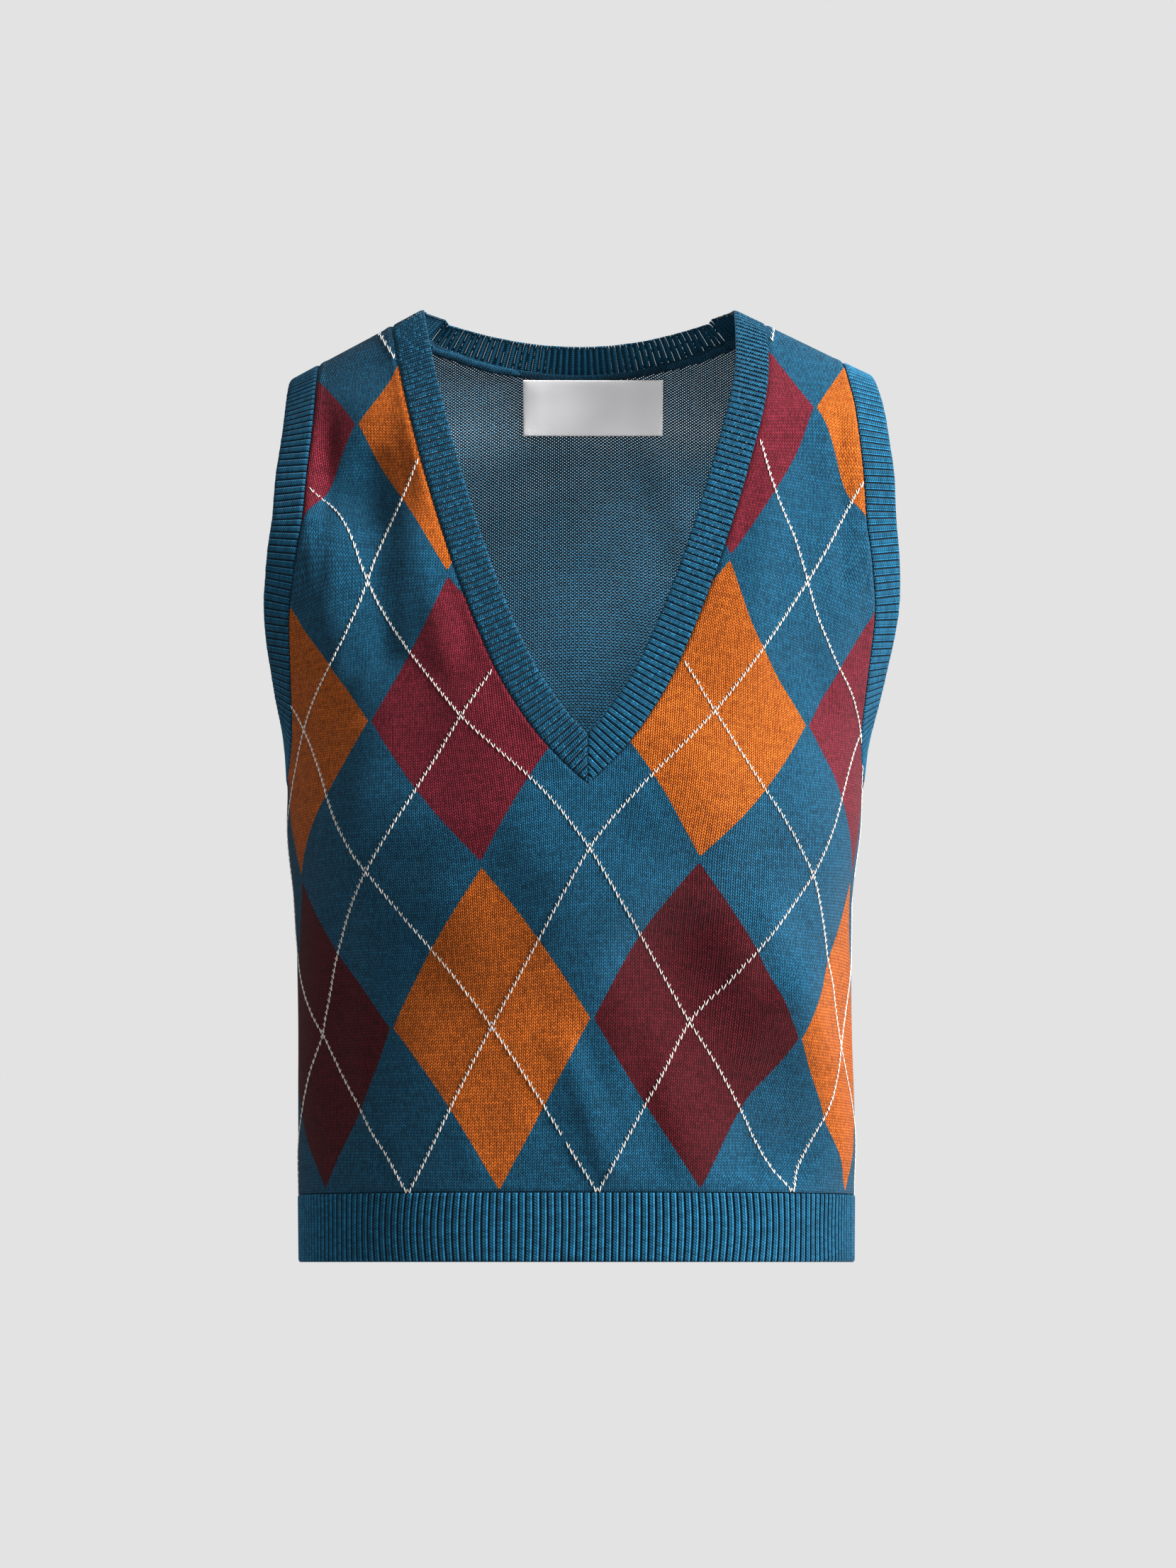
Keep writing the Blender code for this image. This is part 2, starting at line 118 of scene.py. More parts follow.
# The armhole's seam: its turn round the body at each height, 90 degrees being the side.
ArmholeSeam = namedtuple("ArmholeSeam", "z front back")
ARMHOLE = table(ArmholeSeam, (
    (-30, 43.3, 43.3), (-60, 43.4, 43.5), (-81, 44.0, 44.6), (-104, 45.4, 46.0),
    (-120, 47.0, 47.2), (-136, 49.7, 49.2), (-152, 52.7, 51.2), (-166, 55.8, 53.2),
    (-183, 59.2, 56.0), (-202, 63.0, 59.0), (-216, 66.4, 61.2), (-228, 69.6, 63.6),
    (-240, 73.6, 67.2), (-249, 77.2, 71.8), (-255, 80.6, 76.7), (-259.5, 84.8, 82.7),
    (-262, 90.0, 90.0),
))

# Folds are soft ridges (height above 0) and troughs (below 0) along a line from its top to its
# low end, spread to both sides.
Fold = namedtuple("Fold", "side x_top z_top x_low z_low spread height")


def folds(side, rows):
    """Folds on one side of the body."""
    return tuple(Fold(side, *row) for row in rows)


# The frame's own folds
FRAME_FOLDS = folds(FRONT, (
    (-90, -104, -70, -190, 15, 2.6), (-109, -90, -99, -188, 15, -2.8),
    (104, -90, 92, -180, 15, 1.6), (68, -352, 116, -430, 19, -4.2),
    (102, -330, 132, -405, 17, 3.0), (4, -396, 40, -450, 14, 2.2),
    (-122, -330, -132, -440, 18, -2.4),
)) + folds(BACK, (
    (-52, -300, -86, -415, 24, -4.0), (60, -320, 88, -430, 22, -3.4),
    (-10, -370, 14, -455, 20, 2.6),
))

# The broad swells of the bust, chest and side, which bands and seams follow too
BROAD_FOLDS = folds(FRONT, (
    (-110, -300, -12, -316, 78, 8.0), (76, -270, 110, -264, 66, 10.5),
    (0, -296, 22, -298, 58, 4.0), (88, -62, 88, -190, 42, 5.5),
    (-144, -150, -140, -262, 70, 10.5),
))
BROAD_FADE = 0.7

# The finer folds of the panels' cloth
FINE_FOLDS = folds(FRONT, (
    (-96, -296, -40, -306, 26, -1.4), (44, -300, 112, -292, 26, -1.4),
    (-152, -92, -112, -100, 46, -7.0), (-118, -108, -108, -190, 22, -2.6),
    (68, -352, 116, -430, 19, 3.6), (50, -352, 100, -450, 42, -10.5),
    (120, -372, 142, -455, 26, 5.0), (4, -396, 40, -450, 14, -2.6), (-8, -394, 18, -462, 13, 2.6),
    (30, -396, 44, -466, 13, -1.8), (-22, -424, 0, -470, 9, -1.3),
    (-132, -396, -118, -446, 16, -2.0), (-15, -470, -12, -476, 9, -1.1),
    (139, -62, 141, -152, 8, -1.3), (-134, -70, -136, -150, 8, -0.9),
    (-22, -262, -34, -280, 8, 0.8), (30, -262, 42, -282, 8, 0.8), (-8, -268, -14, -292, 7, -0.7),
    (18, -268, 24, -292, 7, -0.7), (-60, -440, -52, -474, 9, 0.8), (92, -446, 98, -476, 9, -0.9),
    (-104, -452, -100, -478, 8, -0.8), (-118, -196, -128, -226, 10, -1.0),
    (122, -190, 132, -222, 10, -1.1),
)) + folds(BACK, (
    (-30, -60, -58, -120, 16, -1.2), (40, -66, 62, -128, 16, -1.2),
    (-112, -196, -126, -232, 12, -1.2), (112, -190, 126, -228, 12, -1.2),
    (-70, -190, -30, -206, 18, -1.1), (28, -200, 76, -188, 18, -1.1),
    (30, -430, 38, -472, 9, -0.9), (-44, -440, -50, -474, 9, 0.8),
))

# Slow unevenness of hanging cloth: waves per 100 mm across and down, turn of the wave, height
Wave = namedtuple("Wave", "across down start height")
WAVES = table(Wave, (
    (1.9, 0.8, 0.3, 0.22), (-1.1, 2.1, 1.7, 0.20), (2.8, -1.5, 4.0, 0.13), (0.7, -3.3, 2.2, 0.12),
    (-3.6, 2.6, 5.1, 0.08),
))
WAVE_STRENGTH = 1.2
BACK_WAVE_START = 1.7

# The argyle's chart. A column is 27 stitches wide and a row 54 courses high, counted from the
# front's centre and from one row above the hem rib; x and z say where each meets the front.
COLUMN_WALES = 27
ROW_COURSES = 54
CHART_RADIUS = 135.0
CHART_UNIT = 100.0
CHART_SLACK = 2e-4
TINY = 1e-12
LOWEST_ROW = 1.0
ChartPoint = namedtuple("ChartPoint", "column row x z")
CHART = table(ChartPoint, (
    (-4, -1, -152.1, -483.5), (-3, -1, -134.3, -475.5), (-2, -1, -89.2, -473.3),
    (-1, -1, -41.0, -472.7), (0, -1, 10.1, -471.4), (1, -1, 63.8, -471.9), (2, -1, 112.6, -473.8),
    (3, -1, 143.0, -479.2), (4, -1, 149.9, -483.5), (-4, 0, -152.4, -400.0),
    (-3, 0, -136.5, -391.5), (-2, 0, -97.5, -387.1), (-1, 0, -45.0, -384.7), (0, 0, 7.3, -380.9),
    (1, 0, 60.4, -383.6), (2, 0, 115.1, -393.2), (3, 0, 138.1, -398.1), (4, 0, 148.9, -404.0),
    (-4, 1, -155.1, -315.0), (-3, 1, -147.5, -309.3), (-2, 1, -111.2, -304.2),
    (-1, 1, -50.6, -300.9), (0, 1, 6.0, -291.4), (1, 1, 63.6, -298.5), (2, 1, 124.1, -306.5),
    (3, 1, 146.5, -309.4), (4, 1, 149.5, -317.0), (-3, 2, -145.4, -229.7),
    (-2, 2, -109.1, -226.0), (-1, 2, -60.9, -223.0), (1, 2, 71.4, -220.1), (2, 2, 120.4, -228.4),
    (3, 2, 150.8, -231.6), (-3, 3, -152.3, -163.1), (-2, 3, -111.7, -150.6),
    (-1, 3, -68.4, -148.7), (1, 3, 79.8, -140.3), (2, 3, 120.9, -151.5), (3, 3, 158.6, -165.1),
    (-2, 4, -118.3, -67.0), (2, 4, 126.5, -58.1), (-0.5, 1.5, -24.5, -255.2),
    (-1.53, 4.47, -97.6, -35.7), (1.5, 4.5, 102.2, -24.9), (-2.45, 4.45, -138.4, -42.6),
    (2.45, 4.45, 143.4, -32.7), (-2.7, 3.3, -143.4, -115.2), (2.65, 3.35, 154.0, -119.3),
    (-2.52, 3.52, -138.4, -105.7), (2.53, 3.53, 146.0, -106.9), (-1.22, 3.78, -84.8, -86.7),
    (1.17, 3.83, 95.8, -75.2), (-1.62, 4.62, -104.9, -19.6), (1.62, 4.62, 105.1, -14.6),
))

# The raker lines run where row plus column, or row less column, is one of these odd numbers.
# No stitch is nearer to the front's edges than RAKER_CLEAR, or further than RAKER_REACH grid
# steps from the nearest spot of the grid.
RAKER_SUMS = range(-7, 11, 2)
RAKER_COLUMNS = 4
RAKER_BOTTOM_ROW = -1
RAKER_CLEAR = 1.5
RAKER_REACH = 0.8

# Mesh density: columns, rows and steps in millimetres, closest together at the sewn edges
FRONT_COLUMNS = 58
BACK_NECK_COLUMNS = 36
BACK_SHOULDER_COLUMNS = 18
EDGE_SHARES = (0.0, 0.0025, 0.0055, 0.0095, 0.015)
SHOULDER_ANGLES = (0, 0.4, 0.9, 1.6, 2.6, 4, *range(6, 91, 3))
CHEST_STEP = 2.7
WAIST_STEP = 2.8
LOWEST_ROWS = (3.0, 1.8, 0.9, 0.4, 0.0)
RIB_COLUMNS = 8
HEM_RIB_COLUMNS = 9
BAND_INNER_ROWS = (0.0, 0.45, 1.0, 1.8)
BAND_MIDDLE_ROWS = 6
BAND_MIDDLE_START, BAND_MIDDLE_END = 3.2, 2.4
BAND_OUTER_ROWS = (1.3, 0.7, 0.3, 0.0)
HEM_ROWS = (0.0, 0.012, 0.03, *np.linspace(0.08, 0.92, 11), 0.965, 0.985, 0.995, 1.0)
HEM_STATIONS = 361
SIDE_STATIONS = 60
LABEL_COLUMNS = (0, 0.008, 0.02, *np.linspace(0.045, 0.955, 30), 0.98, 0.992, 1)
LABEL_ROWS = (0, 0.02, 0.05, *np.linspace(0.1, 0.9, 12), 0.95, 0.98, 1)
ROLL_STATIONS = 90
ROLL_SIDES = 10
ALLOWANCE_ROWS = 5
ALLOWANCE_STEP = 2.5
STITCH_SIDES = 6
STITCH_RINGS = 4
STITCH_BATCH = 25
MERGE = 0.004 * MM

# How surfaces are worked out: rounds of settling and searching, the drop over which the
# shoulder's slope fades, reaches for directions, and a distance at which no seam is felt
SETTLE_STEPS = 12
SEARCH_STEPS = 3
SLOPE_FADE = 100.0
TANGENT_REACH = 7.0
PROBE = 0.05
SHORTEST_STEP = 1e-6
FAR = 60.0

# Sizes of the stitches of the plain back, the bands and the small inside pieces
BACK_WALE = 2.28
BACK_COURSE = 1.7
BAND_COURSE = 1.25
HEM_COURSE = 1.5
TAPE_WALE = 1.8
TAPE_COURSE = 1.2
ROLL_COURSES = 1.6

# A sewn edge turns under in a groove and heaps up in a bead beside it
SewnEdge = namedtuple("SewnEdge", "depth reach place width height")
NECK_EDGE = SewnEdge(0.55, 0.8, 2.8, 1.7, 0.3)
ARMHOLE_EDGE = SewnEdge(0.55, 0.8, 3.0, 1.8, 0.3)
SHOULDER_EDGE = SewnEdge(0.9, 0.9, 3.0, 1.6, 0.45)
HEM_EDGE = SewnEdge(0.35, 0.7, 2.2, 1.3, 0.15)
SIDE_GROOVE = {"depth": 0.8, "reach": 0.8}
NECK_PUCKER = 9.0
ARMHOLE_PUCKER = 11.0
PUCKER_HEIGHT = 0.2
PUCKER_START, PUCKER_REACH = 2.5, 6.0
PUCKER_DRIFT, PUCKER_DRIFT_LENGTH = 1.3, 23.0

# How far from an edge the finer folds reach their full height, and how fast they come up where
# the cloth turns from the side to the front
SEAM_EASE = 12.0
TOP_EASE = 10.0
SIDE_EASE = 14.0
FACING_GAIN = 1.25

# Seam allowances: from the panel's side to the band's side of a seam, and how deep they lie
Allowance = namedtuple("Allowance", "low high depth")
NECK_ALLOWANCE = Allowance(-0.9, 3.2, 2.45)
ARMHOLE_ALLOWANCE = Allowance(-1.5, 2.0, 2.5)
PLAIN_ALLOWANCE = Allowance(-1.5, 1.5, 2.8)
HEM_ALLOWANCE = Allowance(-2.0, 2.0, 2.4)
ALLOWANCE_END = 3.0
ALLOWANCE_THICKNESS = 0.4
ALLOWANCE_CURL = 0.25
ALLOWANCE_WIDEST = 95.0
ALLOWANCE_BEHIND = 20.0

# How a band's ribs differ and sway, and how far back the neckband begins to stand up
BAND_VARIES = 0.1
BAND_SWAY, BAND_SWAY_LENGTH = 0.12, 17.0
BACK_NECK_REACH = 55.0

# How the hem's ribs differ, sway half way down, and slant to one side
HEM_VARIES = 0.12
HEM_SWAY, HEM_SWAYS = 0.9, 9
HEM_RIPPLE, HEM_RIPPLES = 0.5, 23
HEM_SWING, HEM_SLANT = 0.9, 0.5
HEM_END_SHARES = 12

# A raker stitch's two legs: their rise and start in courses, their spread and start in wales,
# and their thickness. The pairs are the least and most of what varies from stitch to stitch.
Leg = namedtuple("Leg", "rise spread thickness start_up start_out")
LONG_LEG = Leg(0.98, 0.52, 1.0, 0.0, 0.0)
SHORT_LEG = Leg(0.34, 0.38, 0.7, 0.35, 0.12)
RAKER_SEED = 4
RAKER_LIFT = 0.25
RAKER_SHIFT = (-0.06, 0.06)
RAKER_DROP = (1.2, 1.35)
RAKER_RISE = (0.9, 1.15)
RAKER_SPREAD = (0.9, 1.1)
RAKER_THICKNESS = (0.92, 1.1)

# The label's thickness and how deep it lies behind the cloth's face, the stitches along its
# top, and the turned neck edge beside it
LABEL_THICKNESS = 0.7
LABEL_DEPTH = CAD_WALL + 2.2
LABEL_DROOP = 0.9
LABEL_WAVE = 0.25
LABEL_SEED = 9
LABEL_STITCH_DEPTH = CAD_WALL + 2.15
LABEL_STITCH_DROP = 0.25
LABEL_STITCH_PITCH = 1.9
LABEL_STITCH_LENGTH = 1.7
LABEL_STITCH_INSET = 1.2
LABEL_STITCH_WIDTH = 0.22
ROLL_REACH = 96.0
ROLL_FAR = 90.0
ROLL_GAP = 1.5
ROLL_CLEAR = 0.55
ROLL_RISE, ROLL_END_RISE = 1.1, 0.8
ROLL_SWAY = ((0.2, 6.1), (0.15, 2.3))
ROLL_HALF_HEIGHT = 0.8
ROLL_HALF_WIDTH, ROLL_END_WIDTH = 1.3, 1.4
ROLL_LUMPS = ((0.15, 1.7), (0.1, 0.9))
ROLL_END, ROLL_END_TAPER = 0.05, 6

# The yarns' finish, the label's and the floor's
WOOL = {"roughness": 0.92, "sheen": 0.03, "sheen_roughness": 0.4, "specular": 0.04}
SATIN = {"roughness": 0.42, "sheen": 0.15, "sheen_roughness": 0.3, "specular": 0.5}
SEWING_THREAD = {"roughness": 0.8, "sheen": 0.3, "sheen_roughness": 0.5, "specular": 0.3}
FLOOR_PAINT = {"roughness": 0.7, "specular": 0.2}
DIAMOND_GAP = 0.5 / COLUMN_WALES / 2

# Stitches: the slant of a leg, in courses; how full their yarns are, a lower number being
# fuller; and how high the dips between them stay
SWELL_FLOOR = 0.02
SLANT = 0.9
LEG_FULLNESS = 0.45
LOOP_FULLNESS, LOOP_DIP = 0.6, 0.2
BAR_FULLNESS, BAR_DIP = 0.4, 0.7

# Dye: how light a stitch is, and how far that varies from stitch to stitch, in small clouds, in
# streaks along the courses and over the whole vest. Spreads are clouds for each wale and course.
Dye = namedtuple("Dye", "even single grain streak broad", defaults=(0.0,) * 5)
KNIT_DYE = Dye(even=0.7, single=0.6, grain=0.55, streak=0.55, broad=0.15)
RIB_DYE = Dye(even=0.75, single=0.5, broad=0.3)
PINHOLE_DYE = Dye(even=0.85, single=0.25, broad=0.5)
GRAIN_SPREAD = (0.3, 0.9)
STREAK_SPREAD = (0.05, 0.45)
PINHOLE_SPREAD = (0.05, 0.04)
FUZZ_SPREAD = (2, 1.3)
BROAD_PER_METRE = 14.0
# Painted shade and painted highlight on the knitting: its colour is darkest in the gaps between
# the yarns and lightest on their crests
GAP_PAINTED_SHADE = 0.04
CREST_PAINTED_HIGHLIGHT, PAINTED_SHADE_CONTRAST = 1.85, 2.1
# Painted shade inside the back: its colour is darker low down and lighter over the upper,
# stretched courses
LOW_BACK_PAINTED_SHADE, UPPER_BACK_PAINTED_LIGHT = 0.55, 0.65

# The back's pinholes: the courses over which they begin above the hem rib, widen where the
# cloth is stretched, and are widest, with how much they widen over each
FIRST_COURSES, FIRST_HOLES = (20, 50), 0.12
STRETCHED_COURSES, STRETCHED_HOLES = (130.0, 250.0), 0.8
TOP_COURSES, TOP_HOLES = (238.0, 258.0), 0.6

# A rib, from its valley at 0 to the next one at 1: where the valley ends, where the slanting
# strokes end, where the thin line after them ends, and where the beaded wale ends
RibLook = namedtuple("RibLook", "valley strokes line bead")
BAND_RIB = RibLook(0.17, 0.62, 0.70, 0.93)
HEM_RIB = RibLook(0.22, 0.55, 0.62, 0.92)
VALLEY_SOFT = 0.4
LINE_SOFT_START, LINE_SOFT_END = 0.04, 0.05
BEAD_SOFT_START, BEAD_SOFT_END = 0.08, 0.04
# Painted shade: the colour in a rib's valley
VALLEY_PAINTED_SHADE = 0.14

# A rib's two wales: the slant and fullness of their yarns, how light these are, painted darker in
# their dips as shade and lighter on their crests as highlight, and how high
RibWale = namedtuple("RibWale", "slant fullness dark light contrast low rise")
STROKES = RibWale(1.6, 0.6, 0.05, 1.15, 1.6, 0.45, 0.4)
BEADS = RibWale(-1.2, 0.4, 0.7, 1.7, 1.0, 0.6, 0.4)

# A rib's wrong side: what its columns, bars and fuzz add to its lightness and height; the
# lightness follows the height, as painted shade in the dips
RibInside = namedtuple("RibInside", "column bars fuzz")
INSIDE_PAINTED_SHADE_AND_FUZZ = RibInside(0.5, 0.35, 1.0)
INSIDE_HEIGHT = RibInside(0.35, 0.4, 0.5)
INSIDE_DEEPEST_PAINTED_SHADE = 0.1
INSIDE_FULLNESS = 0.6
FUZZ_MIDDLE = 0.25

# The gaps of a stretched rib: their place between valley and crest, size, and share left closed
RibHole = namedtuple("RibHole", "place across down closed")
RIB_HOLE = RibHole(0.55, 0.26, 1.6, 0.25)

# The label's weave and the sewing yarns' twist, by the metre, and their relief in metres; the
# satin is painted a little darker between its threads, as shade
WEFT_PER_METRE = 2600
WARP_PER_METRE, WARP_START = 1300, 0.4
FLOAT_PER_METRE = 3600
SATIN_CLOUD = (60, 4)
SATIN_GAP_PAINTED_SHADE = 0.93
SATIN_RELIEF = 0.00006
TWIST_PER_METRE = 1400.0
TWIST_LIGHT, TWIST_VARIES = 0.85, 0.3
TWIST_RELIEF = 0.0002

# The studio, in metres
STUDIO_GREY = (0.768, 0.768, 0.768)
FLOOR_SHADE = (0.2, 0.2, 0.2)
FLOOR_HEIGHT = -0.95
FLOOR_RADIUS = 1.15
FLOOR_SIDES = 96
LIGHT_AIM = (0.0, 0.0, -0.25)
Lamp = namedtuple("Lamp", "name place size power")
LAMPS = (Lamp("key_light", (2.12, -0.92, 0.95), 1.2, "key"),
         Lamp("front_light", (0.3, -2.7, 0.2), 1.5, "fill"))
CAMERA_PLACE = (0.0052, -2.4, -0.259)
CAMERA_SENSOR = 36.0
CAMERA_VIEW_WIDTH = 0.642


# Colours and sizes that a user would change -------------------------------------------------

def colour(name, description, default):
    """A colour property for the sidebar."""
    return bpy.props.FloatVectorProperty(name=name, description=description, size=3, min=0.0,
                                         max=1.0, default=default, subtype="COLOR")


def length(name, description, millimetres):
    """A length property, given here in millimetres."""
    return bpy.props.FloatProperty(name=name, description=description, default=millimetres * MM,
                                   min=0.0, unit="LENGTH", subtype="DISTANCE", precision=5)


def share(name, description, default, most=1.0):
    """A plain share property."""
    return bpy.props.FloatProperty(name=name, description=description, default=default, min=0.0,
                                   max=most, subtype="FACTOR")


def power(name, description, watts):
    """A lamp's power property."""
    return bpy.props.FloatProperty(name=name, description=description, default=watts, min=0.0,
                                   unit="POWER")


class VestYarns(bpy.types.PropertyGroup):
    """Colours of the vest's yarns and label."""
    teal: colour("Teal", "Ground of the front, and all of the back and ribs",
                 (0.0037, 0.035, 0.066))
    burgundy: colour("Burgundy", "One kind of the argyle's diamonds", (0.069, 0.0057, 0.0110))
    maroon: colour("Maroon", "The burgundy diamonds of the lowest row", (0.035, 0.0027, 0.0047))
    orange: colour("Orange", "The other kind of diamonds", (0.210, 0.046, 0.0050))
    raker: colour("Raker", "The fine lines stitched across the diamonds", (0.44, 0.41, 0.375))
    satin: colour("Label", "The bare woven label", (0.76, 0.75, 0.76))
    label_thread: colour("Label thread", "The thread that holds the label's top edge",
                         (0.36, 0.27, 0.27))


class VestSizes(bpy.types.PropertyGroup):
    """Sizes of the vest's cloth and stitches."""
    front_wall: length("Front thickness", "Thickness of the patterned front", 1.6)
    back_wall: length("Back thickness", "Thickness of the plain back", 0.35)
    rib_wall: length("Rib thickness", "Thickness of the ribs in their valleys", 1.0)
    rib_relief: length("Rib relief", "Height of a rib over its valleys", 0.6)
    stitch_relief: length("Stitch relief", "Depth of the knit stitches", 0.8)
    raker_thickness: length("Raker thickness", "Thickness of a raker stitch's yarn", 0.68)
    pinhole: share("Pinholes", "Width of the gaps between the back's stitches", 0.33)
    fold_strength: share("Folds", "Strength of the finer folds", 1.0, 3.0)


class StudioLight(bpy.types.PropertyGroup):
    """The studio's light."""
    key: power("Key light", "Power of the large light at the right", 405.0)
    fill: power("Front light", "Power of the soft light in front", 22.0)


# The body under the cloth -------------------------------------------------------------------

def read(rows, column, z):
    """A table's column at heights z, on a smooth curve through its rows."""
    heights = np.array([row.z for row in rows], float)
    values = np.array([getattr(row, column) for row in rows], float)
    last = len(rows) - 1
    above = np.clip(np.arange(last + 1) - 1, 0, last)
    below = np.clip(np.arange(last + 1) + 1, 0, last)
    slopes = (values[above] - values[below]) / (heights[above] - heights[below])
    z = np.clip(z, heights[-1], heights[0])
    index = np.clip(np.searchsorted(-heights, -z) - 1, 0, last - 1)
    span = heights[index + 1] - heights[index]
    t = (z - heights[index]) / span
    return ((2 * t ** 3 - 3 * t ** 2 + 1) * values[index]
            + (t ** 3 - 2 * t ** 2 + t) * span * slopes[index]
            + (3 * t ** 2 - 2 * t ** 3) * values[index + 1]
            + (t ** 3 - t ** 2) * span * slopes[index + 1])


def signed_power(value, exponent):
    """A power that keeps the value's sign."""
    return np.sign(value) * np.abs(value) ** exponent


def half_depth(side, z):
    """The body's depth on one side of its widest line."""
    return read(BODY, "front" if side == FRONT else "back", z)


def across(turn, z):
    """X at a turn round the body."""
    reach = signed_power(np.sin(np.radians(turn)), 2 / read(BODY, "square", z))
    return read(BODY, "lean", z) + read(BODY, "half_width", z) * reach


def turn_at(x, z):
    """The turn round the body at which it has this X."""
    reach = np.clip((x - read(BODY, "lean", z)) / read(BODY, "half_width", z), -1, 1)
    return np.degrees(np.arcsin(signed_power(reach, read(BODY, "square", z) / 2)))


def shoulder_line(x):
    """Height of the shoulder's crest."""
    left, right = (SHOULDER_SLOPES[hand] for hand in (WEARER_LEFT, WEARER_RIGHT))
    slope = np.where(np.asarray(x) > 0, left, right)
    return -np.maximum(0.0, np.abs(x) - NECK_HALF_WIDTH) * np.tan(np.radians(slope))


def shoulder_share(x, z):
    """Share of the full depth just below the shoulder's crest."""
    drop = np.clip((shoulder_line(x) - z) / SHOULDER_ROUND, 0, 1)
    return np.sqrt(1 - (1 - drop) ** 2)


def fold_height(some_folds, side, x, z):
    """How far a set of folds lifts the cloth at a place."""
    height = np.zeros(np.broadcast(x, z).shape)
    for fold in some_folds:
        if fold.side != side:
            continue
        run_x = fold.x_low - fold.x_top
        run_z = fold.z_low - fold.z_top
        along = ((x - fold.x_top) * run_x + (z - fold.z_top) * run_z) / (run_x ** 2 + run_z ** 2)
        along = np.clip(along, 0, 1)
        off = np.hypot(x - fold.x_top - along * run_x, z - fold.z_top - along * run_z)
        height += fold.height * np.cos(np.pi / 2 * np.minimum(off / fold.spread, 1)) ** 2
    return height


def plain_depth(side, turn, z):
    """The body's depth at a turn, before the shoulders round it off."""
    cosine = np.maximum(0.0, np.cos(np.radians(turn)))
    return half_depth(side, z) * cosine ** (2 / read(BODY, "square", z))


def cloth_point(side, turn, z):
    """A point of the cloth's outer face before its fine relief; broad folds fade at the sides."""
    x = across(turn, z)
    depth = plain_depth(side, turn, z) * shoulder_share(x, z)
    depth = depth + fold_height(FRAME_FOLDS, side, x, z)
    fade = np.cos(np.radians(turn)).clip(0, BROAD_FADE)
    depth = depth + fold_height(BROAD_FOLDS, side, x, z) * fade / BROAD_FADE
    gap = SEAM_GAP if side == BACK else 0.0
    return np.stack(np.broadcast_arrays(x, side * depth + gap, z), -1)


def unit(vectors):
    """Vectors at length 1."""
    return vectors / np.linalg.norm(vectors, axis=-1, keepdims=True)


def outward(side, points):
    """The body's outward direction at points of its face."""
    def level(x, y, z):
        square = read(BODY, "square", z)
        crest = shoulder_share(x, z) ** square
        wide = (np.abs(x - read(BODY, "lean", z)) / read(BODY, "half_width", z)) ** square
        return (np.abs(y) / half_depth(side, z)) ** square + crest * (wide - 1)

    x, y, z = np.moveaxis(points, -1, 0)
    z = np.minimum(z, shoulder_line(x) - 2 * PROBE)
    return unit(np.stack((level(x + PROBE, y, z) - level(x - PROBE, y, z),
                          level(x, y + PROBE, z) - level(x, y - PROBE, z),
                          level(x, y, z + PROBE) - level(x, y, z - PROBE)), -1))


def inner_turn(side, sign, z):
    """Turn of a panel's centre line, or of the V neck's seam above its point."""
    if side == BACK:
        return turn_at(0.0, z)
    return turn_at(read(V_NECK, "middle", z) + sign * read(V_NECK, "half_width", z), z)


def outer_turn(side, z):
    """Turn of the side seam, or of the armhole seam above the underarm."""
    seam = np.minimum(SIDE_TURN, read(ARMHOLE, "front" if side == FRONT else "back", z))
    return np.where(z <= UNDERARM, SIDE_TURN, seam)


def top_line(side, x):
    """Height of a panel's top: the shoulder seam, and on the back the neck seam inside it."""
    shoulder = shoulder_line(x)
    if side == FRONT:
        return shoulder
    end = shoulder_line(np.copysign(BACK_NECK_HALF_WIDTH, x)) - BACK_NECK
    neck = BACK_NECK + end * (np.abs(x) / BACK_NECK_HALF_WIDTH) ** BACK_NECK_CURVE
    return np.where(np.abs(x) < BACK_NECK_HALF_WIDTH, neck, shoulder)


def hem_rise(side, turn, z):
    """How much higher than at the sides the front hem hangs."""
    return HEM_RISE * np.abs(cloth_point(side, turn, z)[..., 1]) if side == FRONT else 0.0 * turn


def row_points(side, sign, drops, shares):
    """A panel's points by drop below its top line and share of the way to its outer edge."""
    drops, shares = np.broadcast_arrays(drops, shares)
    fade = np.clip(1 - (drops - SHOULDER_ROUND) / SLOPE_FADE, 0, 1)
    low = np.maximum(0.0, (drops + UNDERARM) / (BODY_LENGTH + UNDERARM))
    z = -drops
    for _ in range(SETTLE_STEPS):
        inner = inner_turn(side, sign, z)
        turn = inner + (sign * outer_turn(side, z) - inner) * shares
        z = top_line(side, across(turn, z)) * fade - drops + low * hem_rise(side, turn, z)
    return cloth_point(side, turn, z)


def row_drops():
    """Drops of a panel's rows: over the shoulder, down the chest, the waist and the hem's edge."""
    shoulder = SHOULDER_ROUND * (1 - np.cos(np.radians(SHOULDER_ANGLES)))
    chest = np.linspace(SHOULDER_ROUND, -V_POINT, round((-V_POINT - SHOULDER_ROUND) / CHEST_STEP))
    last, *edge = LOWEST_ROWS
    steps = round((BODY_LENGTH + UNDERARM) / WAIST_STEP)
    waist = np.linspace(-UNDERARM, BODY_LENGTH - last, steps)
    return np.concatenate((shoulder[:-1], chest, waist, BODY_LENGTH - np.array(edge)))


def with_edges(shares):
    """Adds the narrow columns next to a panel's seams."""
    edge = np.array(EDGE_SHARES)
    return np.concatenate((edge, shares[1:-1], 1 - edge[::-1]))


